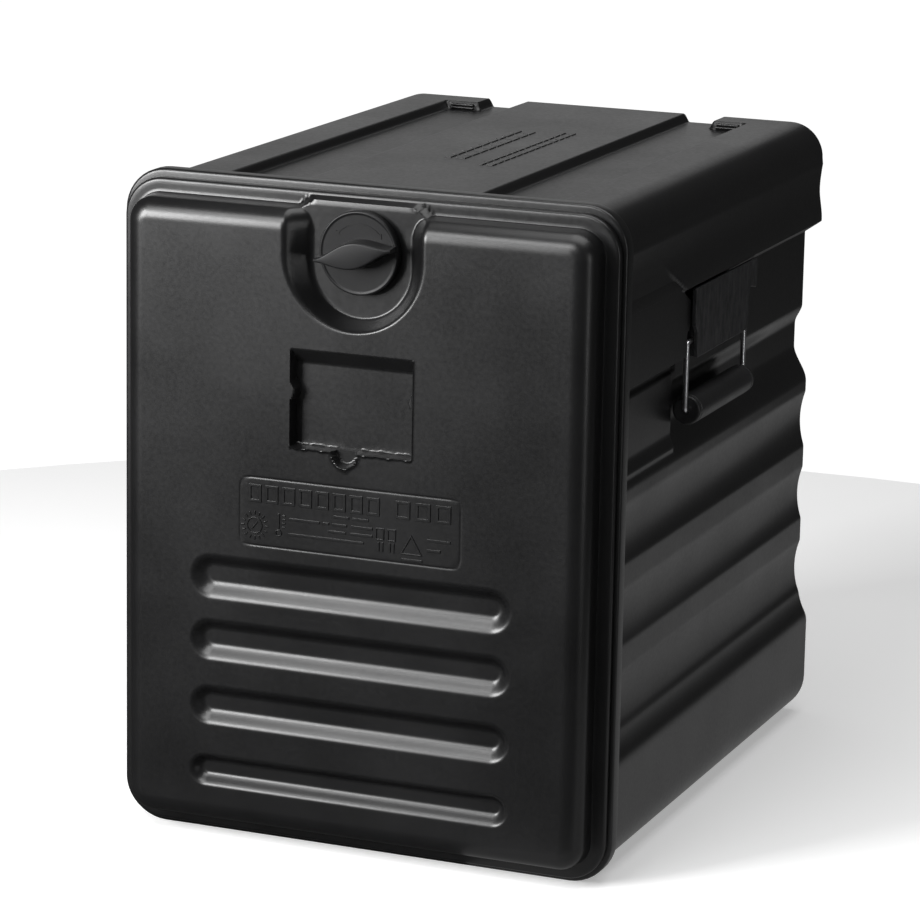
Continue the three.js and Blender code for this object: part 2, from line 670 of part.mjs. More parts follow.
function grip(side) {
  const x = side * HANDLE_X;
  const [front, back] = HANDLE_Y;
  const start = front + WIRE_RADIUS + 1;
  const end = back - WIRE_RADIUS - 1;
  const length = end - start;
  const endRadius = GRIP_RADIUS - GRIP_END_ROUND;
  const profile = [[0, 0], [endRadius, 0], [GRIP_RADIUS, GRIP_END_ROUND]];
  profile.push([GRIP_RADIUS, length - GRIP_END_ROUND], [endRadius, length], [0, length]);
  const geometry = new THREE.LatheGeometry(profile.map(([r, h]) => new THREE.Vector2(r, h)), 28);
  geometry.translate(x, start, GRIP_Z);
  return cut(solid(geometry), barY(x, GRIP_Z, WIRE_RADIUS + GAP, start - 1, end + 1, 12));
}

function handleBracket(side) {
  const [front, back] = BRACKET_Y;
  const [low, high] = BRACKET_Z;
  const body = [side * (UPPER_WALL_FACE + GAP), side * BRACKET_FACE].sort((a, b) => a - b);
  const face = [side * (BRACKET_FACE - BRACKET_PLATE), side * BRACKET_FACE].sort((a, b) => a - b);
  const tab = BRACKET_TAB;
  const bracket = join(
    block(body[0], body[1], front, back, low, BRACKET_BLOCK_TOP),
    block(face[0], face[1], front, back, BRACKET_BLOCK_TOP - 1, high),
    block(face[0], face[1], back - 1, back + tab.reach, high - tab.height, high),
  );
  const { depth, height } = BRACKET_NOTCH;
  const notch = block(body[0] - 1, body[1] + 1, front - 1, front + depth, low - 1, low + height);
  const reaches = [[front - 1, front + PIVOT_LENGTH], [back - PIVOT_LENGTH, back + tab.reach + 1]];
  const bores = reaches.map(([y0, y1]) => (
    barY(side * HANDLE_X, HANDLE_PIVOT_Z, WIRE_RADIUS + 0.4, y0, y1, 20)
  ));
  return cut(bracket, notch, ...bores);
}

// ---------- assembly ----------

place("outer_shell", shellPlastic, outerShell());
place("body_foam", foam, bodyFoam());
place("inner_liner", linerPlastic, innerLiner());
place("latch_keeper", plateSteel, latchKeeper());
place("door_outer_shell", shellPlastic, doorOuterShell());
place("door_inner_shell", linerPlastic, doorInnerShell());
place("door_foam", foam, doorFoam());
place("door_seal", sealRubber, doorSeal());
place("knob", knobPlastic, knob());
place("knob_shaft", plateSteel, knobShaft());
place("latch_bush", bearingPlastic, latchBush());
place("latch_cam", plateSteel, latchCam());
place("cam_screw", plateSteel, camScrew());

for (const [name, side] of [["left", -1], ["right", 1]]) {
  place(`keeper_screw_${name}`, plateSteel, screw(side * KEEPER_SCREW_X, KEEPER_SCREW_Z, FLANGE_Y, 1, 12));
  place(`hook_socket_${name}`, linerPlastic, hookSocket(side * HOOK_X));
  place(`door_hook_${name}`, plateSteel, doorHook(side * HOOK_X));
  hookScrewXs(side * HOOK_X).forEach((x, i) => {
    place(`hook_screw_${name}_${i + 1}`, plateSteel, screw(x, HOOK_SCREW_Z, DOOR_BACK_Y, -1, 5));
  });
  place(`handle_bracket_${name}`, knobPlastic, handleBracket(side));
  place(`bail_wire_${name}`, brightWire, bailWire(side));
  place(`handle_grip_${name}`, gripPlastic, grip(side));
}

export default carrier;
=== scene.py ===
import math

import bmesh
import bpy
import numpy as np
from mathutils import Matrix, Vector


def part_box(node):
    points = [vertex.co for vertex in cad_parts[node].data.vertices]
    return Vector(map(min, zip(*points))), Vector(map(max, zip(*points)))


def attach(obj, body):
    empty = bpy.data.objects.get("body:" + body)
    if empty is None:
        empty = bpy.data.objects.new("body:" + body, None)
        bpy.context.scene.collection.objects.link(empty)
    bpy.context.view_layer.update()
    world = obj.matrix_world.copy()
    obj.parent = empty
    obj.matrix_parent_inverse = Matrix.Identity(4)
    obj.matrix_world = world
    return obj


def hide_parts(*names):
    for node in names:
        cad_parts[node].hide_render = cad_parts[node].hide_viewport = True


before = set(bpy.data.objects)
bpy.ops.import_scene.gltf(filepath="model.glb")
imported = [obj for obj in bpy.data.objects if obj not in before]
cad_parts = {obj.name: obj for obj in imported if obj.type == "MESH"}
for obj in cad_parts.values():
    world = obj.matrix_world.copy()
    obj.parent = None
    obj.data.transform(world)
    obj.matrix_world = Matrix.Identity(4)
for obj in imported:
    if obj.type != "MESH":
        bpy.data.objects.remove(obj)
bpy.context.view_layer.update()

# Insulated food carrier. Metres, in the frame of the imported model: X right, Y to the back, Z up.

MM = 0.001
FLANGE_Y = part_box("outer_shell")[0][1]
BACK_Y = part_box("outer_shell")[1][1]
HALF_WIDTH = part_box("outer_shell")[1][0]
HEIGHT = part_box("outer_shell")[1][2]
DOOR_LOW, DOOR_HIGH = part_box("door_outer_shell")
DOOR_FACE_Y = DOOR_LOW[1]
KNOB_LOW, KNOB_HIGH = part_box("knob")
KNOB_Z = 0.5 * (KNOB_LOW[2] + KNOB_HIGH[2])
KNOB_RADIUS = KNOB_HIGH[0]
KNOB_TILT = math.radians(11)


# ---------- small maths ----------

def smooth(t):
    t = np.clip(t, 0.0, 1.0)
    return t * t * (3.0 - 2.0 * t)


def step(value, low, high):
    """0 below low, 1 above high, smooth between."""
    return smooth((value - low) / (high - low))


def soft_max(a, b, radius):
    h = np.maximum(radius - np.abs(a - b), 0.0) / radius
    return np.maximum(a, b) + h * h * radius * 0.25


def soft_min(a, b, radius):
    return -soft_max(-np.asarray(a), -np.asarray(b), radius)


def rounded_box_distance(x, z, half_x, half_z, radius):
    """Signed distance to a rounded rectangle about the origin, negative inside."""
    qx = np.abs(x) - half_x + radius
    qz = np.abs(z) - half_z + radius
    outside = np.hypot(np.maximum(qx, 0.0), np.maximum(qz, 0.0))
    return outside + np.minimum(np.maximum(qx, qz), 0.0) - radius


def lines(start, *stretches):
    """Grid lines from start through (end, spacing) stretches laid end to end."""
    out = [start]
    for end, spacing in stretches:
        count = max(1, round((end - start) / spacing))
        out.extend(start + (end - start) * i / count for i in range(1, count + 1))
        start = end
    return np.array(out)


def quarter(steps, first=1):
    """Angles that divide a quarter turn into equal steps, from the first step to the last."""
    return [math.radians(90 * i / steps) for i in range(first, steps + 1)]


def mm(*sizes):
    """Sizes in millimetres, as metres."""
    return tuple(size * MM for size in sizes)


# ---------- mesh helpers ----------

def make_object(name, vertices, faces, smooth_shading=True):
    mesh = bpy.data.meshes.new(name)
    mesh.from_pydata([tuple(v) for v in vertices], [], faces)
    mesh.validate()
    mesh.update()
    if smooth_shading:
        mesh.polygons.foreach_set("use_smooth", [True] * len(mesh.polygons))
        mesh.set_sharp_from_angle(angle=math.radians(38))
    piece = bpy.data.objects.new(name, mesh)
    bpy.context.scene.collection.objects.link(piece)
    face_outward(piece)
    return piece


def grid_faces(rows, columns, wrap=False):
    """Quads of a rows by columns grid of vertices; wrap joins the last column to the first."""
    last = columns if wrap else columns - 1
    faces = []
    for i in range(rows - 1):
        for j in range(last):
            k = (j + 1) % columns
            a = i * columns
            b = a + columns
            faces.append((a + j, a + k, b + k, b + j))
    return faces


def capped_faces(rows, columns):
    """The faces of rows of points, each closed on itself, with both ends closed too."""
    faces = grid_faces(rows, columns, wrap=True)
    return faces + [tuple(range(columns)), tuple(range((rows - 1) * columns, rows * columns))]


def prism_faces(count):
    """The faces between two equal outlines of count points, with both ends closed."""
    sides = [(i, (i + 1) % count, count + (i + 1) % count, count + i) for i in range(count)]
    return [tuple(range(count)), tuple(range(2 * count - 1, count - 1, -1))] + sides


def box_shape(low, high):
    """A plain box between two opposite corners."""
    outline = ((low[0], low[1]), (high[0], low[1]), (high[0], high[1]), (low[0], high[1]))
    return [(x, y, z) for z in (low[2], high[2]) for x, y in outline], prism_faces(4)


def face_outward(piece):
    mesh = bmesh.new()
    mesh.from_mesh(piece.data)
    bmesh.ops.recalc_face_normals(mesh, faces=mesh.faces)
    mesh.to_mesh(piece.data)
    mesh.free()


def add_piece(piece, body, slot, material, *replaced):
    """Gives a piece its material and the body it rides on, and hides the nodes it stands in for. The slot
    is not used.
    """
    piece.data.materials.append(material)
    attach(piece, body)
    if replaced:
        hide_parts(*replaced)


# ---------- rounded rectangles ----------

CORNER_STEPS = 10
SIDE_STEPS = (30, 24)


def arc_points(radius, start, end, count):
    turns = [math.radians(start + (end - start) * i / count) for i in range(count + 1)]
    return [(radius * math.cos(a), radius * math.sin(a)) for a in turns]


def rounded_loop(half_x, low, high, radius):
    """Points (x, z) once round a rounded rectangle, always the same count."""
    right, bottom, top = half_x - radius, low + radius, high - radius
    corners = [(right, bottom), (right, top), (-right, top), (-right, bottom)]
    points = []
    for number, (x, z) in enumerate(corners):
        arc = arc_points(radius, 90 * number - 90, 90 * number, CORNER_STEPS)
        points += [(x + dx, z + dz) for dx, dz in arc]
        next_x, next_z = corners[(number + 1) % 4]
        start_x, start_z = points[-1]
        count = SIDE_STEPS[number % 2]
        points += [(start_x + (next_x - x) * i / count, start_z + (next_z - z) * i / count)
                   for i in range(1, count)]
    return points


def plate_grid(half_x, low, high, radius, rings, middle_x, middle_z):
    """A grid whose edge is a rounded rectangle.

    rings are the insets of the outer grid lines, from 0 to radius; middle_x and middle_z are the lines
    between the corners. Returns x, z and the ring number of every vertex, as arrays.
    """
    last = len(rings) - 1
    line_x = np.concatenate([-half_x + rings, middle_x[1:-1], (half_x - rings)[::-1]])
    line_z = np.concatenate([low + rings, middle_z[1:-1], (high - rings)[::-1]])
    ix, iz = [np.minimum(np.arange(len(line)), np.arange(len(line))[::-1]).clip(0, last)
              for line in (line_x, line_z)]
    kx, kz = np.meshgrid(ix, iz, indexing="ij")
    x, z = np.meshgrid(line_x, line_z, indexing="ij")
    ring = np.minimum(kx, kz)
    reach = np.maximum(radius - rings[ring], 1e-9)
    part_x = (radius - rings[kx]) / reach
    part_z = (radius - rings[kz]) / reach
    angle = np.where(kx <= kz, part_z * math.pi / 4, math.pi / 2 - part_x * math.pi / 4)
    corner = (kx < last) & (kz < last)
    sign_x = np.where(x > 0, 1.0, -1.0)
    middle = 0.5 * (low + high)
    sign_z = np.where(z > middle, 1.0, -1.0)
    centre_z = np.where(z > middle, high - radius, low + radius)
    x = np.where(corner, sign_x * (half_x - radius + reach * np.cos(angle)), x)
    z = np.where(corner, centre_z + sign_z * reach * np.sin(angle), z)
    return x, z, ring


# ---------- door front moulding ----------

DOOR_RADIUS = 36.0 * MM
RIM_DEPTH = 8.0 * MM
RIM_RADIUS = 3.0 * MM
PANEL_DEPTH = FLANGE_Y - DOOR_FACE_Y
PANEL_RADIUS = 18.0 * MM
WALL_FOOT = RIM_DEPTH + 1.0 * MM
WALL_DRAFT = math.radians(6)
KNOB_SEAT = 16.5 * MM
RECESS_FLOOR = PANEL_DEPTH - KNOB_SEAT
RECESS_HALF = 47.0 * MM
RECESS_FLARE = 17.5 * MM
RECESS_DROP = 11.7 * MM
BROW_DROP = 2.5 * MM
RECESS_PAD_TOP = 585.0 * MM
CARD_HALF = 57.5 * MM
CARD_LOW = 370.6 * MM
CARD_HIGH = 457.6 * MM
CARD_DEPTH = 12.4 * MM
NOTCH_X = -5.5 * MM
NOTCH_HALF = 12.5 * MM
NOTCH_DROP = 14.0 * MM
NIB_Z = 420.0 * MM
NIB_RADIUS = 6.5 * MM
LIP_HEIGHT = 1.9 * MM
LIP_WIDTH = 1.2 * MM
PLATE_Z = 309.5 * MM
PLATE_HALF_X = 104.0 * MM
PLATE_HALF_Z = 30.5 * MM
PLATE_RADIUS = 9.0 * MM
PLATE_LINE_DEPTH = 0.35 * MM
GROOVE_HALF = 152.0 * MM
GROOVE_DEPTH = 8.0 * MM
GROOVES = [mm(52.6, 82.1), mm(109.6, 146.1), mm(169.1, 207.1), mm(225.6, 266.1)]


def door_edge_profile():
    """(inset, depth in front of the flange) from the lip's back edge to the raised face."""
    round_foot = RIM_DEPTH - RIM_RADIUS
    profile = [(0.0, 1.5 * MM), (0.0, round_foot)]
    for angle in quarter(5):
        profile.append((RIM_RADIUS * (1 - math.cos(angle)), round_foot + RIM_RADIUS * math.sin(angle)))
    profile += [(inset, RIM_DEPTH) for inset in mm(6.0, 9.0, 11.2)]
    profile += [(11.9 * MM, RIM_DEPTH + 0.3 * MM), (12.2 * MM, WALL_FOOT)]
    wall_start = profile[-1]
    draft = math.tan(WALL_DRAFT)
    wall_end_depth = PANEL_DEPTH - PANEL_RADIUS
    for i in range(1, 6):
        depth = wall_start[1] + (wall_end_depth - wall_start[1]) * i / 5
        profile.append((wall_start[0] + draft * (depth - wall_start[1]), depth))
    start = profile[-1][0]
    for i in range(1, 17):
        angle = WALL_DRAFT + (math.radians(90) - WALL_DRAFT) * i / 16
        profile.append((start + PANEL_RADIUS * (math.cos(WALL_DRAFT) - math.cos(angle)),
                        wall_end_depth + PANEL_RADIUS * math.sin(angle)))
    return profile


def edge_depth(full, local_face):
    """The edge profile's depth, moved so that its fillet ends at the local face and not the full one."""
    wall_top = PANEL_DEPTH - PANEL_RADIUS
    squeeze = np.maximum(local_face - PANEL_RADIUS - WALL_FOOT, 0.0) / (wall_top - WALL_FOOT)
    wall = WALL_FOOT + (full - WALL_FOOT) * squeeze
    fillet = np.maximum(local_face - PANEL_DEPTH + full, WALL_FOOT)
    return np.where(full <= WALL_FOOT, full, np.where(full <= wall_top, wall, fillet))


def u_distance(x, z, middle):
    """How far out from the middle line of a U whose round end is centred at the height middle."""
    return np.where(z > middle, np.abs(x), np.hypot(x, z - middle))


def recess_depth(x, z):
    """Depth of the U-shaped knob recess below the door face, with a rounded foot and a rounded brow."""
    out = u_distance(x, z, KNOB_Z - RECESS_DROP) - RECESS_HALF
    inside = RECESS_HALF + RECESS_FLARE - u_distance(x, z, KNOB_Z - BROW_DROP)
    wall = RECESS_FLOOR * inside / (out + inside)
    wall = soft_min(wall, RECESS_FLOOR, 2.5 * MM)
    return soft_max(wall, 0.0, 3.5 * MM)


def notch_distance(x, z):
    """How far outside the pocket's thumb notch, which is half an ellipse."""
    return (np.hypot((x - NOTCH_X) / NOTCH_HALF, (z - CARD_LOW) / NOTCH_DROP) - 1) * NOTCH_HALF


def card_pocket_depth(x, z):
    """The card pocket: steep sides, a sloping top, side nibs and a thumb notch at its foot."""
    centre = 0.5 * (CARD_LOW + CARD_HIGH)
    half = 0.5 * (CARD_HIGH - CARD_LOW)
    box = rounded_box_distance(x, z - centre, CARD_HALF, half, 1.5 * MM)
    nib = np.hypot(np.abs(x) - CARD_HALF - 2.5 * MM, (z - NIB_Z) * 0.75) - NIB_RADIUS
    box = np.maximum(box, -nib)
    depth = CARD_DEPTH * step(-box, 0.0, 1.1 * MM)
    slope = soft_max((CARD_HIGH - z) * 0.95, 0.0, 1.5 * MM)
    depth = soft_min(depth, slope, 1.5 * MM)
    notch = notch_distance(x, z)
    notch_depth = 7 * MM * step(-notch, 0.0, 3.2 * MM) * step(CARD_LOW + 4 * MM - z, 0.0, 3 * MM)
    return np.maximum(depth, notch_depth)


def card_lip_height(x, z):
    """A thin uneven flash line along the pocket's foot, round the thumb notch and up the right side."""
    wave = 0.6 * MM * (np.sin(x * 310.0) + 0.8 * np.sin(x * 790.0 + 1.0) + 0.5 * np.sin(x * 1900.0))
    bottom = np.abs(z - CARD_LOW - wave * 0.8)
    along = np.clip((np.abs(x) - CARD_HALF + 0.5 * MM) / (1 * MM), 0.0, 1.0)
    inside_notch = step(NOTCH_HALF - np.abs(x - NOTCH_X), -0.5 * MM, 1.0 * MM)
    straight = np.exp(-(bottom / LIP_WIDTH) ** 2) * (1 - along) * (1 - inside_notch)
    curved = np.exp(-((notch_distance(x, z) + wave * 0.4) / LIP_WIDTH) ** 2)
    curved = curved * step(CARD_LOW + 1 * MM - z, 0.0, 1.5 * MM)
    upright = np.abs(z - 0.5 * (CARD_LOW + CARD_HIGH)) < 0.5 * (CARD_HIGH - CARD_LOW)
    right = 0.45 * np.exp(-((x - CARD_HALF) / (0.8 * MM)) ** 2) * upright
    return LIP_HEIGHT * np.maximum(np.maximum(straight, curved), right)


def groove_depth(x, z, low, high):
    """A scooped groove: steep under its upper edge, a long ramp at its lower edge, round ends."""
    half = 0.5 * (high - low)
    across = (z - 0.5 * (high + low)) / half
    along = np.maximum(np.abs(x) - (GROOVE_HALF - half), 0.0) / half
    out = np.hypot(across, along)
    upper = smooth((1.02 - out) / 0.62)
    lower = smooth((1.04 - out) / 0.78)
    mix = smooth(0.5 + across / 0.7)
    return GROOVE_DEPTH * (upper * mix + lower * (1 - mix))


def plate_frame_depth(x, z):
    """The engraved rounded frame of the data plate."""
    out = rounded_box_distance(x, z - PLATE_Z, PLATE_HALF_X, PLATE_HALF_Z, PLATE_RADIUS)
    return PLATE_LINE_DEPTH * np.exp(-(out / (0.8 * MM)) ** 2)


def door_front():
    profile = door_edge_profile()
    rings = [inset for inset, _ in profile]
    depths = [depth for _, depth in profile]
    extra = np.linspace(rings[-1], DOOR_RADIUS, 4)[1:]
    rings = np.array(rings + list(extra))
    depths = np.array(depths + [PANEL_DEPTH] * len(extra))
    half_x = DOOR_HIGH[0]
    low, high = DOOR_LOW[2], DOOR_HIGH[2]
    fine = 0.45 * MM
    right = lines(
        0.0, mm(42, 1.5), (CARD_HALF - 2 * MM, 1.0 * MM), (CARD_HALF + 1.5 * MM, fine),
        mm(78, 1.2), mm(102, 3), mm(106, 0.6), mm(128, 2.5),
        mm(154, 1.3), (half_x - DOOR_RADIUS, 3 * MM),
    )
    middle_x = np.concatenate([-right[:0:-1], right])
    middle_z = lines(
        low + DOOR_RADIUS, mm(48, 1.5), mm(270, 1.2), mm(277, 1.5),
        mm(281, 0.6), mm(338, 2.5), mm(342, 0.6), mm(355, 2),
        (374 * MM, fine), (CARD_HIGH - 16 * MM, 1.8 * MM), (CARD_HIGH + 2 * MM, 0.8 * MM),
        mm(472, 1.3), mm(500, 0.7), (high - DOOR_RADIUS, 1.3 * MM),
    )
    x, z, ring = plate_grid(half_x, low, high, DOOR_RADIUS, rings, middle_x, middle_z)
    depth = depths[ring]
    depth = edge_depth(depth, PANEL_DEPTH - recess_depth(x, z))
    pad_level = PANEL_DEPTH - RECESS_FLOOR
    pad_side = np.abs(x) - RECESS_HALF - 1.5 * np.maximum(RECESS_PAD_TOP - z, 0.0)
    pad_edge = soft_max(pad_side, 3 * (z - RECESS_PAD_TOP), 4 * MM)
    pad = soft_min(pad_level, pad_level - pad_edge * 1.2, 3 * MM)
    inside_rim = rings[ring] > RIM_RADIUS
    depth = np.where(inside_rim & (z > KNOB_Z), np.maximum(depth, pad), depth)
    face = step(depth, PANEL_DEPTH - 3 * MM, PANEL_DEPTH - 1 * MM)
    depth = depth - card_pocket_depth(x, z) + card_lip_height(x, z)
    for groove_low, groove_high in GROOVES:
        depth = depth - groove_depth(x, z, groove_low, groove_high)
    depth = depth - plate_frame_depth(x, z) * face
    y = FLANGE_Y - depth
    vertices = np.stack([x, y, z], axis=-1).reshape(-1, 3)
    rows, columns = x.shape
    faces = grid_faces(rows, columns)
    number = np.arange(rows * columns).reshape(rows, columns)
    rim = np.concatenate([number[:, 0], number[-1, 1:], number[-2::-1, -1], number[0, -2:0:-1]]).tolist()
    return vertices, faces, rim


def close_with_return(vertices, faces, rim, inset, y):
    """Turns a moulding's open edge inwards by inset, then forward to y, so the wall has a thickness."""
    points = np.array(vertices)
    edge = points[rim]
    centre = edge.mean(axis=0)
    loops = []
    for scale_in, level in ((inset * 0.3, None), (inset, None), (inset, y)):
        offset = edge - centre
        moved = edge.copy()
        moved[:, 0] -= np.sign(offset[:, 0]) * np.minimum(np.abs(offset[:, 0]), scale_in)
        moved[:, 2] -= np.sign(offset[:, 2]) * np.minimum(np.abs(offset[:, 2]), scale_in)
        if level is not None:
            moved[:, 1] = level
        loops.append(moved)
    start = len(points)
    count = len(rim)
    points = np.vstack([points] + loops)
    rings = [rim] + [list(range(start + n * count, start + (n + 1) * count)) for n in range(len(loops))]
    for a, b in zip(rings, rings[1:]):
        for i in range(count):
            k = (i + 1) % count
            faces.append((a[i], a[k], b[k], b[i]))
    faces.append(tuple(reversed(rings[-1])))
    return points, faces


# ---------- body outer moulding ----------

BODY_TOP = 591.0 * MM
BODY_HALF = 226.5 * MM
BASE_RADIUS = 38.0 * MM
TOP_RADIUS = 33.0 * MM
TOP_SIDE = 224.9 * MM
WALL_FACE = 216.7 * MM
UPPER_WALL = 210.0 * MM
GRIP_WALL = 203.2 * MM
FRONT_PANEL = 223.0 * MM
FRONT_PANEL_END = FLANGE_Y + 197 * MM
FRONT_PAD = 211.5 * MM
FRONT_PAD_END = FLANGE_Y + 194 * MM
CHANNEL_DEPTH = 8.0 * MM
BASE_BAND_TOP = 118.0 * MM
SCALLOP_DEPTH = 4.6 * MM
LEDGE_Z = 485.0 * MM
LEDGE_RISE = 11.5 * MM
OVERHANG_FACE = 226.4 * MM
OVERHANG_HOLLOW = 3.1 * MM
SWELL_Z = 530.0 * MM
SWELL = 2.2 * MM
CREASE_Z = 552.5 * MM
SHOULDER_SLOPE = 0.11
EDGE_RADIUS = 6.0 * MM
CORNER_REACH = 40.0 * MM
TRUNK_WALL = 2.5 * MM
SCALLOPS = [mm(150, 26), mm(224.6, 26), mm(299.5, 27)]


def wall_section(z):
    """Half-width of the side wall at height z, behind the front panel."""
    slope = WALL_FACE + (BASE_BAND_TOP - z) * 0.52
    x = soft_max(soft_min(slope, BODY_HALF, 2.5 * MM), WALL_FACE, 7 * MM)
    for centre, half in SCALLOPS:
        across = (z - centre) / half
        x = x - soft_max(SCALLOP_DEPTH * (1 - across * across), 0.0, 0.6 * MM) * (np.abs(across) < 1.25)
    x = x - (WALL_FACE - GRIP_WALL) * step(z, 337 * MM, 372 * MM)
    x = x + (UPPER_WALL - GRIP_WALL) * step(z, 394 * MM, 413 * MM)
    x = x + (OVERHANG_FACE - UPPER_WALL) * np.clip((z - LEDGE_Z) / LEDGE_RISE, 0.0, 1.0)
    hollow = OVERHANG_HOLLOW * step(z, 499 * MM, 528 * MM)
    swell = SWELL * (np.clip(z - SWELL_Z, 0.0, CREASE_Z - SWELL_Z) / (CREASE_Z - SWELL_Z)) ** 1.5
    return x - hollow + swell - SHOULDER_SLOPE * np.maximum(z - CREASE_Z, 0.0)


def side_wall(z, y):
    """Half-width of the side wall, with the front panel, its groove and the pad below it."""
    x = wall_section(z)
    rise = np.maximum(z - 484 * MM, 0.0)
    end = FRONT_PANEL_END + 1 * MM + 6.5 * MM * step(z, 453 * MM, 457 * MM) - 1.75 * rise
    near_panel = step(end - y, 0.0, 2 * MM + 0.12 * rise)
    panel = step(z, 428 * MM, 433 * MM) * step(530 * MM - z, 0.0, 6 * MM)
    x = x + (FRONT_PANEL - x) * near_panel * panel
    groove_end = step(FLANGE_Y + 203 * MM - y, 0.0, 5 * MM)
    groove = step(z, 417.5 * MM, 421 * MM) * step(430 * MM - z, 0.0, 3 * MM)
    x = x - np.maximum(x - 207.6 * MM, 0.0) * groove_end * groove
    near_pad = step(FRONT_PAD_END - y, 0.0, 3.5 * MM)
    pad = step(z, 344 * MM, 352 * MM) * step(420 * MM - z, 0.0, 3 * MM)
    low_slope = FRONT_PAD + (WALL_FACE - FRONT_PAD) * step(364 * MM - z, 0.0, 20 * MM)
    return x + np.maximum(low_slope - x, 0.0) * near_pad * pad


def top_height(x, y):
    """Height of the top: two rails, a centre plateau and the channels between them."""
    out = np.abs(x)
    plateau = step(out, 81.5 * MM, 88 * MM)
    rail = step(157.5 * MM - out, 0.0, 5.5 * MM)
    start = step(y, FLANGE_Y + 40 * MM, FLANGE_Y + 60 * MM)
    stop = step(out, 118 * MM, 124 * MM) * step(y, BACK_Y - 40 * MM, BACK_Y - 36 * MM)
    channel = plateau * rail * start * (1 - stop)
    return BODY_TOP - CHANNEL_DEPTH * channel


def body_contour():
    """One side of the body's section as (kind, value) stations, from bottom centre to top centre."""
    stations = [("bottom", x) for x in lines(0.0, (BODY_HALF - BASE_RADIUS, 12 * MM))]
    stations += [("base_arc", a - math.pi / 2) for a in quarter(10)]
    heights = lines(
        BASE_RADIUS, mm(94, 7), mm(412, 1.9), mm(436, 1.0), mm(480, 4),
        mm(500, 0.8), (SWELL_Z, 2.5 * MM), (CREASE_Z, 3 * MM), (BODY_TOP - TOP_RADIUS, 1.8 * MM),
    )
    stations += [("side", z) for z in heights[1:]]
    stations += [("top_arc", a) for a in quarter(14)]
    across = lines(
        0.0, mm(78, 6), mm(92, 1.2), mm(112, 4), mm(128, 1.4),
        mm(148, 4), mm(160, 1.2), (TOP_SIDE - TOP_RADIUS, 5 * MM),
    )
    stations += [("top", x) for x in across[::-1][1:]]
    return stations


def body_point(kind, value, y):
    if kind == "bottom":
        return value, 0.0
    turn = Vector((math.cos(value), math.sin(value)))
    if kind == "base_arc":
        return Vector((BODY_HALF - BASE_RADIUS, BASE_RADIUS)) + turn * BASE_RADIUS
    if kind == "side":
        return float(side_wall(value, y)), value
    if kind == "top_arc":
        return Vector((TOP_SIDE - TOP_RADIUS, BODY_TOP - TOP_RADIUS)) + turn * TOP_RADIUS
    return value, float(top_height(value, y))


def trunk_loop(stations, y):
    """The whole section of the body at depth y, as points (x, z)."""
    right = np.array([tuple(body_point(kind, value, y)) for kind, value in stations])
    left = right[-2:0:-1] * (-1, 1)
    return np.concatenate([right, left])


def inset_loop(loop, distance):
    """The loop moved inwards square to itself."""
    tangent = np.roll(loop, -1, axis=0) - np.roll(loop, 1, axis=0)
    normal = np.column_stack([tangent[:, 1], -tangent[:, 0]])
    normal /= np.linalg.norm(normal, axis=1)[:, None]
    return loop - normal * distance


def shrunk_loop(loop, distance):
    """The loop drawn in sideways at the sides, down at the top, and towards the middle at its corners."""
    middle = (loop.max(axis=0) + loop.min(axis=0)) / 2
    half = (loop.max(axis=0) - loop.min(axis=0)) / 2
    side = np.sign(loop - middle)
    reach = np.maximum(np.abs(loop - middle) - (half - CORNER_REACH), 0.0)
    return loop - side * reach / np.linalg.norm(reach, axis=1)[:, None] * distance


def body_trunk():
    """The body's moulding from behind the flange to the back, closed by an inner wall and two caps."""
    stations = body_contour()
    depths = lines(
        FLANGE_Y + 14 * MM, (FLANGE_Y + 36 * MM, 9 * MM), (FLANGE_Y + 64 * MM, 2 * MM),
        (FLANGE_Y + 120 * MM, 8 * MM), (FLANGE_Y + 188 * MM, 1.7 * MM), (FLANGE_Y + 205 * MM, 0.8 * MM),
        (BACK_Y - 45 * MM, 11 * MM), (BACK_Y - EDGE_RADIUS, 1.5 * MM),
    )
    inner = inset_loop(trunk_loop(stations, 0.0), TRUNK_WALL)
    sections = [(inner, depths[-1]), (inner, depths[0])]
    sections += [(trunk_loop(stations, y), y) for y in depths]
    last = sections[-1][0]
    for angle in quarter(7):
        edge = shrunk_loop(last, EDGE_RADIUS * (1 - math.cos(angle)))
        sections.append((edge, BACK_Y - EDGE_RADIUS + EDGE_RADIUS * math.sin(angle)))
    sections.append((shrunk_loop(last, 1.5 * EDGE_RADIUS), BACK_Y))
    rows = [np.insert(loop, 1, y, axis=1) for loop, y in sections]
    return np.vstack(rows), capped_faces(len(rows), len(last))


def body_flange():
    """The front rim, from where it meets the trunk round to the liner's opening."""
    edge = (HALF_WIDTH, 0.0, HEIGHT, 39 * MM)
    opening = (205.3 * MM, 29.7 * MM, 577.3 * MM, 20.3 * MM)
    back_round, front_round = 2.2 * MM, 3 * MM
    stages = [(edge, inset, 16 * MM) for inset in (27 * MM, 9 * MM, back_round)]
    stages += [(edge, back_round * (1 - math.sin(a)), 16 * MM - back_round * (1 - math.cos(a)))
               for a in quarter(4)]
    stages += [(edge, front_round * (1 - math.cos(a)), front_round * (1 - math.sin(a)))
               for a in quarter(5, 0)]
    stages += [(edge, 9 * MM, 0.0), (opening, 0.0, 0.0), (opening, 0.0, 4.5 * MM)]
    loops = []
    for (half_x, low, high, radius), inset, depth in stages:
        loop = rounded_loop(half_x - inset, low + inset, high - inset, radius - inset)
        loops.append([(x, FLANGE_Y + depth, z) for x, z in loop])
    count = len(loops[0])
    faces = grid_faces(len(loops), count, wrap=True)
    last = (len(loops) - 1) * count
    faces += [(last + j, last + (j + 1) % count, (j + 1) % count, j) for j in range(count)]
    return [point for loop in loops for point in loop], faces


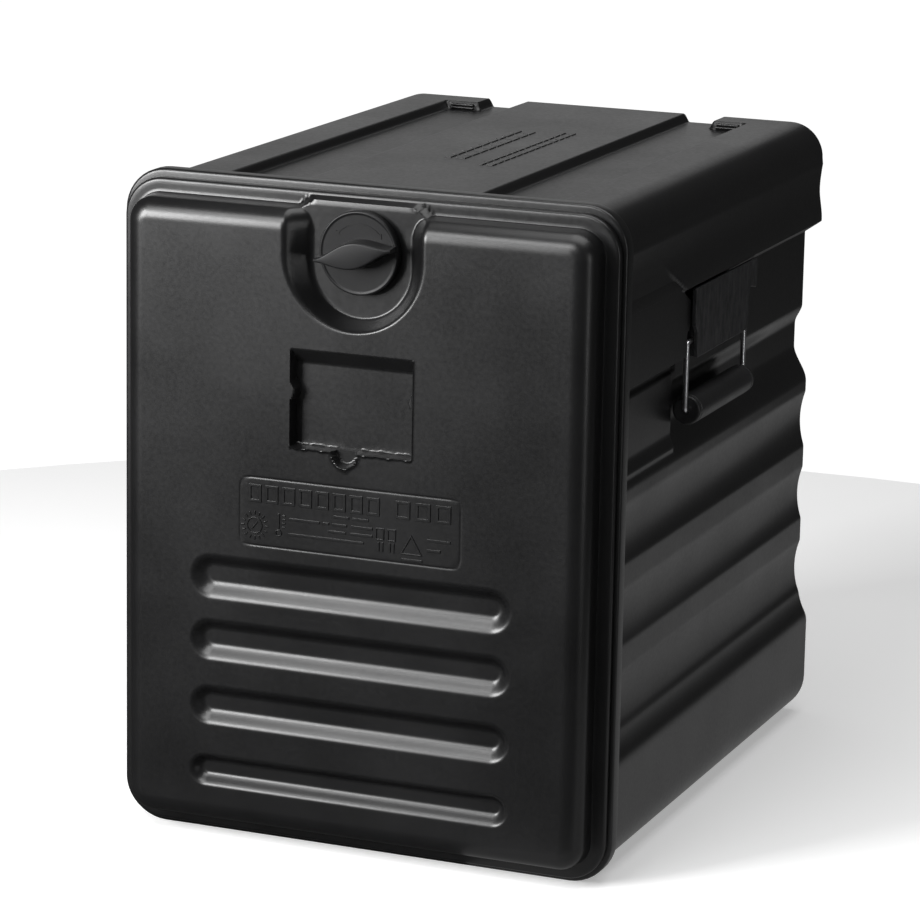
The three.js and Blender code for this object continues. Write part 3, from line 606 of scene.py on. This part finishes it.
def boolean(piece, tool, operation):
    """Cuts the tool out of the piece, or joins the two, and removes the tool."""
    modifier = piece.modifiers.new("boolean", "BOOLEAN")
    modifier.operation = operation
    modifier.object = tool
    bpy.context.view_layer.update()
    apply_modifiers(piece)
    bpy.data.objects.remove(tool, do_unlink=True)


def cut_hook_windows(piece):
    """Cuts the two windows for the hook sockets out of the flange."""
    gap = Vector((0.25 * MM, 1.2 * MM, 0.25 * MM))
    for name in ("hook_socket_left", "hook_socket_right"):
        low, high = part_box(name)
        window = box_shape(Vector(low) - gap, Vector(high) + gap)
        boolean(piece, make_object("window", *window, smooth_shading=False), "DIFFERENCE")


def apply_modifiers(piece):
    depsgraph = bpy.context.evaluated_depsgraph_get()
    mesh = bpy.data.meshes.new_from_object(piece.evaluated_get(depsgraph))
    old = piece.data
    piece.modifiers.clear()
    piece.data = mesh
    bpy.data.meshes.remove(old)


# ---------- tubes and turned pieces ----------

def tube(points, radius, sides):
    """A closed round bar along a list of points."""
    path = [Vector(p) for p in points]
    vertices = []
    across = None
    for i, point in enumerate(path):
        ahead = path[min(i + 1, len(path) - 1)] - path[max(i - 1, 0)]
        ahead.normalize()
        if across is None:
            across = ahead.orthogonal().normalized()
        across = (across - ahead * across.dot(ahead)).normalized()
        side = ahead.cross(across)
        for k in range(sides):
            angle = 2 * math.pi * k / sides
            vertices.append(point + (across * math.cos(angle) + side * math.sin(angle)) * radius)
    return vertices, capped_faces(len(path), sides)


def turned_y(profile, x, z, sides):
    """A turned solid about an axis along Y; profile is (radius, y), on the axis at both ends."""
    vertices = []
    for radius, y in profile:
        for k in range(sides):
            angle = 2 * math.pi * k / sides
            vertices.append((x + radius * math.cos(angle), y, z + radius * math.sin(angle)))
    return vertices, grid_faces(len(profile), sides, wrap=True)


def merge_close(piece):
    """Joins the points that lie on each other, as on a turned piece's axis."""
    mesh = bmesh.new()
    mesh.from_mesh(piece.data)
    bmesh.ops.remove_doubles(mesh, verts=mesh.verts, dist=MM * MM)
    mesh.to_mesh(piece.data)
    mesh.free()
    face_outward(piece)


# ---------- knob ----------

RECESS_Y = FLANGE_Y - KNOB_SEAT
DISC_FRONT = RECESS_Y - 9.5 * MM
DISC_FACE = DISC_FRONT + 0.7 * MM
GRIP_ROOT = DISC_FRONT + 1.2 * MM
GRIP_FRONT = KNOB_LOW[1]


def knob_disc():
    r = KNOB_RADIUS
    back = RECESS_Y - 0.4 * MM
    rounding = [(r, RECESS_Y - 4 * MM), (r - 0.1 * MM, DISC_FRONT + 1.2 * MM)]
    rounding += [(r - 0.5 * MM, DISC_FRONT + 0.4 * MM), (r - 1.3 * MM, DISC_FRONT)]
    ring = [(r - 2.2 * MM, DISC_FRONT + 0.1 * MM), (r - 2.9 * MM, DISC_FACE - 0.1 * MM)]
    profile = [(0.0, back), (r - 1 * MM, back), (r - 0.2 * MM, RECESS_Y - 1 * MM)] + rounding + ring
    profile += [(radius, DISC_FACE) for radius in (r - 3.2 * MM, r - 4.0 * MM, 0.5 * r, 0.0)]
    return turned_y(profile, 0.0, KNOB_Z, 96)


def knob_grip():
    """The leaf-shaped finger grip: hollow-sided, with its front edges rounded and thin ends."""
    stations = 56
    height = GRIP_ROOT - GRIP_FRONT
    c, s = math.cos(KNOB_TILT), math.sin(KNOB_TILT)
    vertices = []
    for i in range(stations + 1):
        along = -1 + 2 * i / stations
        half = 1.5 * MM + 9.8 * MM * (0.5 + 0.5 * math.cos(math.pi * along)) ** 0.85
        bow = 0.35 * MM * math.sin(math.pi * along)
        drop = 2.6 * MM * abs(along) ** 6
        edge = min(1.6 * MM, half * 0.8)
        row = [(-half - 0.9 * MM, 0.0)]
        row += [(-half + edge * (1 - math.cos(a)), height - drop - edge * (1 - math.sin(a)))
                for a in quarter(5, 0)]
        row += [(-p, q) for p, q in reversed(row)]
        for across, up in row:
            x = along * (KNOB_RADIUS - 0.4 * MM)
            z = across + bow
            vertices.append((x * c - z * s, GRIP_ROOT - up, KNOB_Z + x * s + z * c))
    return vertices, capped_faces(stations + 1, len(row))


def knob_arrow():
    """A plain raised turning arrow on the upper half of the disc, as flat outlines about its middle."""
    outer, inner = 26.3 * MM, 24.9 * MM
    start, end = 42, 138
    middle = (outer + inner) / 2
    outlines = [arc_points(outer, start, end, 28) + arc_points(inner, end, start, 28)]
    for angle, way in ((start, -1), (end, 1)):
        a = math.radians(angle)
        b = math.radians(angle + way * 9)
        tip = [(middle + 2.6 * MM, a), (middle, b), (middle - 2.6 * MM, a)]
        outlines.append([(radius * math.cos(turn), radius * math.sin(turn)) for radius, turn in tip])
    return outlines


def extrude_outline(outline, back, front, z=0.0):
    """A flat outline (x, z) pushed along Y from back to front, as vertices and faces."""
    return [(px, y, z + pz) for y in (back, front) for px, pz in outline], prism_faces(len(outline))


def combine(shapes):
    vertices, faces = [], []
    for points, polygons in shapes:
        start = len(vertices)
        vertices.extend(tuple(p) for p in points)
        faces.extend(tuple(start + i for i in polygon) for polygon in polygons)
    return vertices, faces


# ---------- plain marks where the real one has lettering ----------

MARK_HEIGHT = 0.8 * MM
LINE = 1.2
WORD_LINE = 2.6


def box_loop(x0, x1, z0, z1):
    return [(x0 * MM, z0 * MM), (x1 * MM, z0 * MM), (x1 * MM, z1 * MM), (x0 * MM, z1 * MM)]


def circle_loop(x, z, radius, sides=32):
    turns = [2 * math.pi * i / sides for i in range(sides)]
    return [((x + radius * math.cos(a)) * MM, (z + radius * math.sin(a)) * MM) for a in turns]


def stroke(x0, z0, x1, z1, width=LINE):
    """The outline of a straight line from one point to another."""
    start, end = Vector((x0, z0)), Vector((x1, z1))
    along = (end - start).normalized()
    side = Vector((-along.y, along.x)) * (width / 2)
    return [point * MM for point in (start - side, end - side, end + side, start + side)]


def extrude_ring(outer, inner, back, front):
    """The closed line between two outlines of equal count, pushed along Y."""
    count = len(outer)
    vertices = [(x, y, z) for y in (back, front) for loop in (outer, inner) for x, z in loop]
    faces = []
    for i in range(count):
        k = (i + 1) % count
        for a, b in ((0, 1), (1, 3), (3, 2), (2, 0)):
            faces.append((a * count + i, a * count + k, b * count + k, b * count + i))
    return vertices, faces


def plate_marks():
    """Blank outlines, bars, a dial, a thermometer, two trays and a triangle on the data plate."""
    back, front = DOOR_FACE_Y + 0.3 * MM, DOOR_FACE_Y - MARK_HEIGHT
    rings = []
    boxes = [(start, start + 12.5, 318, 334, WORD_LINE) for start in range(-96, 30, 16)]
    boxes += [(start, start + 14, 318, 334, WORD_LINE) for start in range(43, 88, 19)]
    boxes += [(25, 33, 297, 308, LINE), (36, 44, 297, 308, LINE)]
    for x0, x1, z0, z1, line in boxes:
        rings.append((box_loop(x0, x1, z0, z1), box_loop(x0 + line, x1 - line, z0 + line, z1 - line)))
    rings.append((circle_loop(-90, 297, 7.5), circle_loop(-90, 297, 6.5)))
    rings.append((circle_loop(-67, 292.5, 3.2), circle_loop(-67, 292.5, 2.2)))
    corners = [Vector((48, 287)), Vector((69, 287)), Vector((58.5, 305))]
    middle = sum(corners, Vector((0, 0))) / 3
    rings.append(([c * MM for c in corners], [(middle + (c - middle) * 0.8) * MM for c in corners]))
    shapes = [extrude_ring(outer, inner, back, front) for outer, inner in rings]
    marks = [stroke(-93, 293.5, -87, 300.5), stroke(-67, 296.5, -67, 310, 2.2)]
    for i in range(16):
        angle = 2 * math.pi * i / 16
        c, s = math.cos(angle), math.sin(angle)
        marks.append(stroke(-90 + 9.5 * c, 297 + 9.5 * s, -90 + 13 * c, 297 + 13 * s, 1.4))
    marks += [stroke(-63.5, z, -60.5, z) for z in (298, 301.5, 305, 308.5)]
    words = [(-57, -28, 306), (-25, -19, 306), (-16, -2, 306), (2, 22, 306), (-20, -3, 299.5)]
    words += [(1, 22, 299.5), (-57, 14, 292.5), (-15, 0, 313), (2.5, 18, 313)]
    words += [(73, 95, 302), (73, 86, 293), (49, 69, 282.5)]
    marks += [stroke(x0, z, x1, z, 2.4) for x0, x1, z in words]
    marks += [stroke(x, 287, x, 295.5, 1.6) for x in (28, 31.5, 38.5, 42)]
    shapes += [extrude_outline(mark, back, front) for mark in marks]
    return combine(shapes)


def top_marks():
    """Four rows of plain dashes on the plateau, along its depth."""
    low, high = BODY_TOP - 0.3 * MM, BODY_TOP + MARK_HEIGHT
    rows = [(-21, -15, 215, 395, 9), (-10, -1, 215, 395, 9), (22, 26, 190, 405, 14), (30, 36, 190, 405, 14)]
    shapes = []
    for x0, x1, start, end, count in rows:
        pitch = (end - start) / count
        for i in range(count):
            y = FLANGE_Y + (start + pitch * i) * MM
            shapes.append(box_shape((x0 * MM, y, low), (x1 * MM, y + (pitch - 3.5) * MM, high)))
    return combine(shapes)


def stop_ribs():
    """Two short ribs across the front of each stacking stop."""
    back = BACK_Y - 37 * MM
    shapes = []
    for left, right in ((-150 * MM, -126 * MM), (126 * MM, 150 * MM)):
        for height in mm(1.4, 4.4):
            low = BODY_TOP - CHANNEL_DEPTH + height
            shapes.append(box_shape((left, back - 4.5 * MM, low), (right, back, low + 1.6 * MM)))
    return combine(shapes)


# ---------- side handles ----------

WIRE_RADIUS = 2.5 * MM
WIRE_BEND = 5.0 * MM
PIVOT_REACH = 36 * MM
BARREL_START = 7.2 * MM
BARREL_STEPS = 52
BEHIND_FLAP = 0.3 * MM


def bail_path(side):
    """The wire's middle line: pivot end, front leg, grip, rear leg, pivot end."""
    low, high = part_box("bail_wire_" + side)
    x = 0.5 * (low[0] + high[0])
    bottom, top = low[2] + WIRE_RADIUS, high[2] - WIRE_RADIUS
    front, back = low[1] + WIRE_RADIUS, high[1] - WIRE_RADIUS
    corners = [(front + PIVOT_REACH, top), (front, top), (front, bottom), (back, bottom), (back, top),
               (back - PIVOT_REACH, top)]
    return x, corners


def rounded_path(x, corners, radius):
    """The line through the corners (y, z) at x, with each corner rounded."""
    points = [(x, *corners[0])]
    for before, here, after in zip(corners, corners[1:], corners[2:]):
        a = (Vector(before) - Vector(here)).normalized()
        b = (Vector(after) - Vector(here)).normalized()
        centre = Vector(here) + (a + b) * radius
        for angle in quarter(8, 0):
            p = centre - b * radius * math.cos(angle) - a * radius * math.sin(angle)
            points.append((x, p.x, p.y))
    points.append((x, *corners[-1]))
    return points


def handle_grip_profile(start, end, radius):
    """The grip's outline from end to end: a rounded end, a ring groove, then a finely ribbed barrel."""
    round_end = radius - 2.4 * MM
    half = [mm(2.9, 1.2), (radius - 4.0 * MM, 0.4 * MM), (round_end, 0.0)]
    half += [(round_end + 2.2 * MM * math.sin(a), 2.2 * MM * (1 - math.cos(a)))
             for a in quarter(5)]
    half += [(radius - 0.2 * MM, 4.6 * MM), (radius - 1.0 * MM, 5.2 * MM), (radius - 1.0 * MM, 6.4 * MM)]
    half += [(radius - 0.1 * MM, BARREL_START)]
    barrel = end - start - 2 * BARREL_START
    profile = [(r, start + y) for r, y in half]
    for i in range(1, BARREL_STEPS):
        rib = 0.22 * MM if i % 2 else 0.0
        profile.append((radius - rib, start + BARREL_START + barrel * i / BARREL_STEPS))
    profile += [(r, end - y) for r, y in reversed(half)]
    return profile


def bracket_shape(side):
    """The flap's outline in the YZ plane, with its notch at the lower front and its rear tab."""
    low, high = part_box("handle_bracket_" + side)
    front, back, top = low[1], high[1] - 23 * MM, high[2]
    notch_top = low[2] + 27 * MM
    outline = [(front + 6.5 * MM, low[2]), (back - 1.5 * MM, low[2] + 0.4 * MM), (back, low[2] + 2 * MM)]
    outline += [(back, top - 31 * MM), (back + 4 * MM, top - 28 * MM), (back + 5 * MM, top - 24 * MM)]
    outline += [(back + 20 * MM, top - 27 * MM), (high[1], top - 24 * MM), (high[1], top), (front, top)]
    outline += [(front, notch_top + 3 * MM), (front + 3.5 * MM, notch_top + 1 * MM)]
    return outline + [(front + 6.5 * MM, notch_top - 4 * MM)]


def bracket_plate(side):
    """The thin outer plate of the flap."""
    low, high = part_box("handle_bracket_" + side)
    outline = bracket_shape(side)
    face = max(low[0], high[0], key=abs)
    levels = [face - math.copysign(depth, face) for depth in (4.8 * MM, BEHIND_FLAP)]
    return [(x, y, z) for x in levels for y, z in outline], prism_faces(len(outline))


def join_hinge_block(flap, side):
    """Joins the block behind the plate to it and bores both for the wire's ends."""
    low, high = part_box("handle_bracket_" + side)
    inner, outer = sorted((abs(low[0]), abs(high[0])))
    sign = 1 if side == "right" else -1
    xs = sorted((sign * (inner + BEHIND_FLAP), sign * (outer - 3 * MM)))
    front, back = low[1] + 7 * MM, high[1] - 25 * MM
    block = box_shape((xs[0], front, low[2] + 1 * MM), (xs[1], back, high[2] - 14.5 * MM))
    boolean(flap, make_object("block", *block, smooth_shading=False), "UNION")
    x, corners = bail_path(side)
    for (end, z), (start, _) in ((corners[0], corners[1]), (corners[-1], corners[-2])):
        way = math.copysign(1.0, end - start)
        reach = [(x, start - way * 10 * MM, z), (x, end + way * 1 * MM, z)]
        bore = make_object("bore", *tube(reach, WIRE_RADIUS + 0.5 * MM, 24))
        boolean(flap, bore, "DIFFERENCE")


def add_bevel(piece, width, segments):
    modifier = piece.modifiers.new("edges", "BEVEL")
    modifier.width = width
    modifier.segments = segments
    modifier.limit_method = "ANGLE"
    modifier.angle_limit = math.radians(30)
    modifier.harden_normals = True
    apply_modifiers(piece)


# ---------- materials ----------

class Nodes:
    """A small wrapper that makes a material's nodes and links in few words."""

    def __init__(self, name):
        self.material = bpy.data.materials.new(name)
        self.material.use_nodes = True
        self.tree = self.material.node_tree
        self.shader = self.tree.nodes["Principled BSDF"]

    def node(self, kind, inputs, **settings):
        made = self.tree.nodes.new(kind)
        for key, value in settings.items():
            setattr(made, key, value)
        for key, value in inputs.items():
            made.inputs[key].default_value = value
        return made

    def link(self, source, target):
        self.tree.links.new(source, target)

    def shade(self, source, name):
        """Feeds one of the shader's own inputs."""
        self.link(source, self.shader.inputs[name])

    def fix(self, **values):
        """Sets shader inputs to fixed values; an underscore stands for a space in a name."""
        for name, value in values.items():
            self.shader.inputs[name.replace("_", " ")].default_value = value

    def position(self, scale=(1.0, 1.0, 1.0)):
        place = self.node("ShaderNodeTexCoord", {})
        mapping = self.node("ShaderNodeMapping", {"Scale": scale})
        self.link(place.outputs["Object"], mapping.inputs["Vector"])
        return mapping.outputs["Vector"]

    def noise(self, where, scale, detail=3.0, roughness=0.55):
        made = self.node("ShaderNodeTexNoise", {"Scale": scale, "Detail": detail, "Roughness": roughness})
        self.link(where, made.inputs["Vector"])
        return made.outputs["Fac"]

    def ramp(self, source, low, high, low_value, high_value):
        values = {"From Min": low, "From Max": high, "To Min": low_value, "To Max": high_value}
        made = self.node("ShaderNodeMapRange", values)
        self.link(source, made.inputs["Value"])
        return made.outputs["Result"]

    def colour(self, source, low, high, first, second):
        """Blends the base colour from first to second as the source goes from low to high."""
        made = self.node("ShaderNodeMix", {"A": (*first, 1.0), "B": (*second, 1.0)}, data_type="RGBA")
        self.link(self.ramp(source, low, high, 0.0, 1.0), made.inputs["Factor"])
        self.shade(made.outputs["Result"], "Base Color")

    def bump(self, height, strength, distance, before=None):
        made = self.node("ShaderNodeBump", {"Strength": strength, "Distance": distance})
        self.link(height, made.inputs["Height"])
        if before is not None:
            self.link(before, made.inputs["Normal"])
        return made.outputs["Normal"]


def moulded_plastic(name, dark, light, rough_range, grain=900.0, grain_depth=0.00006, specular=0.5):
    """Moulded polyethylene: fine grain, slow waviness, and patches that differ a little in gloss."""
    n = Nodes(name)
    where = n.position()
    patches = n.noise(where, 9.0, 4.0)
    specks = n.noise(where, 260.0, 2.0)
    fine = n.noise(where, grain, 2.0, 0.6)
    waves = n.noise(where, 14.0, 1.0, 0.3)
    n.colour(patches, 0.35, 0.7, dark, light)
    rough = n.node("ShaderNodeMath", {}, operation="ADD")
    n.link(n.ramp(patches, 0.3, 0.72, *rough_range), rough.inputs[0])
    n.link(n.ramp(specks, 0.3, 0.7, -0.025, 0.025), rough.inputs[1])
    n.shade(rough.outputs[0], "Roughness")
    n.shade(n.bump(fine, 0.35, grain_depth, n.bump(waves, 0.35, 0.0009)), "Normal")
    n.fix(Specular_IOR_Level=specular)
    return n.material


def streaked_plastic():
    """The handle flap: rough moulded plastic with upright flow streaks."""
    n = Nodes("streaked_plastic")
    upright = n.position((1.0, 1.0, 0.4))
    streaks = n.noise(upright, 110.0, 4.0, 0.7)
    broad = n.noise(upright, 45.0, 3.0, 0.6)
    fine = n.noise(n.position(), 1100.0, 2.0)
    n.colour(streaks, 0.4, 0.72, (0.008, 0.008, 0.009), (0.03, 0.03, 0.032))
    n.shade(n.ramp(streaks, 0.3, 0.7, 0.62, 0.4), "Roughness")
    relief = n.bump(broad, 0.6, 0.0009, n.bump(streaks, 0.8, 0.0005))
    n.shade(n.bump(fine, 0.3, 0.00005, relief), "Normal")
    return n.material


def bright_steel(name, colour, rough_low, rough_high, stretch):
    """Drawn or rolled steel with fine lines along the way it was worked."""
    n = Nodes(name)
    drawn = n.noise(n.position(stretch), 700.0, 3.0, 0.6)
    stain = n.noise(n.position(), 35.0, 3.0)
    n.colour(stain, 0.4, 0.7, colour, tuple(c * 0.82 for c in colour))
    n.shade(n.ramp(drawn, 0.3, 0.7, rough_low, rough_high), "Roughness")
    n.shade(n.bump(drawn, 0.25, 0.00004), "Normal")
    n.fix(Metallic=1.0)
    return n.material


def seal_rubber():
    n = Nodes("seal_rubber")
    where = n.position()
    bloom = n.noise(where, 40.0, 4.0)
    n.colour(bloom, 0.4, 0.7, (0.02, 0.02, 0.021), (0.045, 0.045, 0.046))
    n.shade(n.ramp(bloom, 0.35, 0.7, 0.6, 0.78), "Roughness")
    n.shade(n.bump(n.noise(where, 1500.0, 2.0), 0.3, 0.00005), "Normal")
    return n.material


def insulation_foam():
    n = Nodes("insulation_foam")
    where = n.position()
    cells = n.node("ShaderNodeTexVoronoi", {"Scale": 900.0})
    n.link(where, cells.inputs["Vector"])
    tint = n.noise(where, 12.0, 4.0)
    n.colour(tint, 0.35, 0.7, (0.78, 0.66, 0.38), (0.62, 0.48, 0.24))
    n.shade(n.ramp(tint, 0.3, 0.7, 0.82, 0.95), "Roughness")
    n.shade(n.bump(cells.outputs["Distance"], 0.6, 0.0003), "Normal")
    return n.material


def bearing_plastic():
    n = Nodes("bearing_plastic")
    where = n.position()
    tint = n.noise(where, 60.0, 3.0)
    n.colour(tint, 0.35, 0.7, (0.72, 0.71, 0.67), (0.6, 0.58, 0.53))
    n.shade(n.ramp(tint, 0.3, 0.7, 0.4, 0.52), "Roughness")
    n.shade(n.bump(n.noise(where, 1800.0, 2.0), 0.2, 0.00003), "Normal")
    return n.material


shell_plastic = moulded_plastic(
    "shell_plastic", (0.004, 0.004, 0.0042), (0.0055, 0.0055, 0.0058), (0.30, 0.36),
)
liner_plastic = moulded_plastic("liner_plastic", (0.013, 0.013, 0.014), (0.018, 0.018, 0.019), (0.38, 0.46))
knob_plastic = moulded_plastic(
    "knob_plastic", (0.006, 0.006, 0.0064), (0.008, 0.008, 0.0084), (0.38, 0.46), 1400.0, specular=0.24,
)
grip_plastic = moulded_plastic(
    "grip_plastic", (0.012, 0.012, 0.0125), (0.02, 0.02, 0.021), (0.4, 0.52), 1200.0, 0.00012,
)
flap_plastic = streaked_plastic()
wire_steel = bright_steel("wire_steel", (0.86, 0.86, 0.88), 0.26, 0.34, (1.0, 1.0, 0.05))
plate_steel = bright_steel("plate_steel", (0.6, 0.61, 0.63), 0.28, 0.42, (0.05, 1.0, 1.0))
rubber = seal_rubber()
foam = insulation_foam()
bearing = bearing_plastic()

CARRIED_OVER = {
    liner_plastic: ("inner_liner", "door_inner_shell", "hook_socket_left", "hook_socket_right"),
    foam: ("body_foam", "door_foam"),
    rubber: ("door_seal",),
    bearing: ("latch_bush",),
    plate_steel: (
        "latch_keeper", "keeper_screw_left", "keeper_screw_right", "door_hook_left", "door_hook_right",
        "hook_screw_left_1", "hook_screw_left_2", "hook_screw_right_1", "hook_screw_right_2",
        "knob_shaft", "latch_cam", "cam_screw",
    ),
}


# ---------- assembly ----------

def build_door():
    vertices, faces, rim = door_front()
    vertices, faces = close_with_return(vertices, faces, rim, 3.4 * MM, FLANGE_Y - 4.1 * MM)
    door = make_object("door_front_moulding", vertices, faces)
    add_piece(door, "door", "shell_plastic", shell_plastic, "door_outer_shell")
    marks = make_object("data_plate_marks", *plate_marks(), smooth_shading=False)
    add_bevel(marks, 0.35 * MM, 1)
    add_piece(marks, "door", "shell_plastic", shell_plastic)


def build_body():
    trunk = make_object("body_moulding", *body_trunk())
    add_piece(trunk, "carrier", "shell_plastic", shell_plastic, "outer_shell")
    flange = make_object("body_flange", *body_flange())
    cut_hook_windows(flange)
    add_piece(flange, "carrier", "shell_plastic", shell_plastic)
    for name, shape, width in (("top_marks", top_marks(), 0.25 * MM), ("stop_ribs", stop_ribs(), 0.6 * MM)):
        piece = make_object(name, *shape, smooth_shading=False)
        add_bevel(piece, width, 2)
        add_piece(piece, "carrier", "shell_plastic", shell_plastic)


def build_knob():
    disc = make_object("knob_disc", *knob_disc())
    merge_close(disc)
    add_piece(disc, "latch", "knob_plastic", knob_plastic, "knob")
    grip = make_object("knob_grip", *knob_grip())
    add_piece(grip, "latch", "knob_plastic", knob_plastic)
    back, front = DISC_FACE + 0.2 * MM, DISC_FACE - 0.45 * MM
    shapes = [extrude_outline(outline, back, front, KNOB_Z) for outline in knob_arrow()]
    arrow = make_object("knob_arrow", *combine(shapes), smooth_shading=False)
    add_piece(arrow, "latch", "knob_plastic", knob_plastic)


def build_handle(side):
    x, corners = bail_path(side)
    wire = make_object("bail_" + side, *tube(rounded_path(x, corners, WIRE_BEND), WIRE_RADIUS, 20))
    add_piece(wire, "handle_" + side, "bright_wire", wire_steel, "bail_wire_" + side)
    low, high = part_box("handle_grip_" + side)
    radius = 0.5 * (high[0] - low[0])
    profile = handle_grip_profile(low[1], high[1], radius)
    grip = make_object("grip_" + side, *turned_y(profile, x, 0.5 * (low[2] + high[2]), 48))
    add_piece(grip, "handle_" + side, "grip_plastic", grip_plastic, "handle_grip_" + side)
    flap = make_object("handle_flap_" + side, *bracket_plate(side))
    add_bevel(flap, 0.9 * MM, 3)
    join_hinge_block(flap, side)
    add_piece(flap, "carrier", "knob_plastic", flap_plastic, "handle_bracket_" + side)


build_door()
build_body()
build_knob()
build_handle("left")
build_handle("right")
for material, names in CARRIED_OVER.items():
    for node in names:
        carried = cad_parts[node]
        carried.data.materials.clear()
        carried.data.materials.append(material)


# ---------- floor, light and camera ----------

FLOOR_RADIUS = 1.3
FLOOR_GLOW = 0.35
CARD_GLOW = 0.3
CARD_PLACE = (0.5, 0.55, -0.001)
CARD_SIZE = (0.8, 1.9, 1.0)
ROOM_LIGHT = 0.045
BACKDROP_LIGHT = 1.05
WHITE = (1.0, 1.0, 1.0, 1.0)
CAMERA_PLACE = (1.3692, FLANGE_Y - 3.1627, 1.1761)
CAMERA_AZIMUTH = math.radians(22.07)
CAMERA_PITCH = math.radians(13.35)
CAMERA_ROLL = math.radians(1.07)
CAMERA_LENS = 159.3


def build_floor():
    """A small pale studio table, a little self-lit like a light table, so its far edge fades out."""
    n = Nodes("studio_floor")
    n.colour(n.noise(n.position(), 3.0, 3.0), 0.0, 1.0, (0.8, 0.8, 0.8), (0.84, 0.84, 0.84))
    n.fix(Roughness=0.8, Specular_IOR_Level=0.1, Emission_Color=WHITE, Emission_Strength=FLOOR_GLOW)
    bpy.ops.mesh.primitive_circle_add(vertices=96, radius=FLOOR_RADIUS, fill_type="NGON")
    floor = bpy.context.object
    floor.name = "studio_floor"
    floor.data.materials.append(n.material)
    floor.visible_glossy = False


def build_reflection_card():
    """A dim card just under the floor: it is all that the plastic's gloss sees of the table."""
    n = Nodes("reflection_card")
    tint = n.noise(n.position(), 2.0, 2.0)
    n.shade(n.ramp(tint, 0.0, 1.0, CARD_GLOW * 0.97, CARD_GLOW * 1.03), "Emission Strength")
    n.fix(Emission_Color=WHITE, Base_Color=(0.0, 0.0, 0.0, 1.0))
    bpy.ops.mesh.primitive_plane_add(size=1, location=CARD_PLACE)
    card = bpy.context.object
    card.scale = CARD_SIZE
    card.name = "reflection_card"
    card.data.materials.append(n.material)
    card.visible_camera = False
    card.visible_diffuse = False
    card.visible_shadow = False


def area_light(name, place, target, width, height, power):
    data = bpy.data.lights.new(name, "AREA")
    data.shape = "RECTANGLE"
    data.size = width
    data.size_y = height
    data.energy = power
    lamp = bpy.data.objects.new(name, data)
    lamp.location = place
    lamp.rotation_euler = (Vector(target) - Vector(place)).to_track_quat("-Z", "Y").to_euler()
    lamp.visible_camera = False
    bpy.context.scene.collection.objects.link(lamp)


def build_world():
    """White behind the table, and a dim room for everything the plastic reflects."""
    world = bpy.data.worlds.new("studio")
    world.use_nodes = True
    tree = world.node_tree
    room = tree.nodes["Background"]
    backdrop = tree.nodes.new("ShaderNodeBackground")
    for light, strength in ((room, ROOM_LIGHT), (backdrop, BACKDROP_LIGHT)):
        light.inputs["Color"].default_value = WHITE
        light.inputs["Strength"].default_value = strength
    path = tree.nodes.new("ShaderNodeLightPath")
    mix = tree.nodes.new("ShaderNodeMixShader")
    tree.links.new(path.outputs["Is Camera Ray"], mix.inputs["Fac"])
    tree.links.new(room.outputs["Background"], mix.inputs[1])
    tree.links.new(backdrop.outputs["Background"], mix.inputs[2])
    tree.links.new(mix.outputs["Shader"], tree.nodes["World Output"].inputs["Surface"])
    bpy.context.scene.world = world
    bpy.context.scene.view_settings.view_transform = "Standard"


def build_camera():
    """A long lens a little right of the front and above it, level but for a small roll."""
    data = bpy.data.cameras.new("camera")
    data.lens = CAMERA_LENS
    data.sensor_width = 36
    camera = bpy.data.objects.new("camera", data)
    right = Vector((math.cos(CAMERA_AZIMUTH), math.sin(CAMERA_AZIMUTH), 0))
    away = Vector((right.y, -right.x, 0))
    back = away * math.cos(CAMERA_PITCH) + Vector((0, 0, math.sin(CAMERA_PITCH)))
    up = back.cross(right)
    turned_right = right * math.cos(CAMERA_ROLL) + up * math.sin(CAMERA_ROLL)
    turned_up = up * math.cos(CAMERA_ROLL) - right * math.sin(CAMERA_ROLL)
    rotation = Matrix((turned_right, turned_up, back)).transposed()
    camera.matrix_world = Matrix.Translation(CAMERA_PLACE) @ rotation.to_4x4()
    bpy.context.scene.collection.objects.link(camera)
    bpy.context.scene.camera = camera


build_floor()
build_reflection_card()
build_world()
area_light("overhead", (0.3, 0.0, 1.95), (0.3, 0.0, 0.0), 1.4, 1.3, 16)
area_light("front_top_box", (-0.35, -1.5, 1.75), (0.0, -0.3, 0.45), 1.2, 0.5, 20)
area_light("left_box", (-1.4, -2.05, 1.1), (-0.1, -0.27, 0.45), 0.9, 1.2, 96)
area_light("back_left_box", (-0.95, 2.3, 1.2), (0.0, 0.0, 0.5), 1.8, 1.1, 2.5)
area_light("right_strip", (2.3, -0.9, 0.6), (0.2, 0.0, 0.4), 0.3, 1.4, 5)
build_camera()
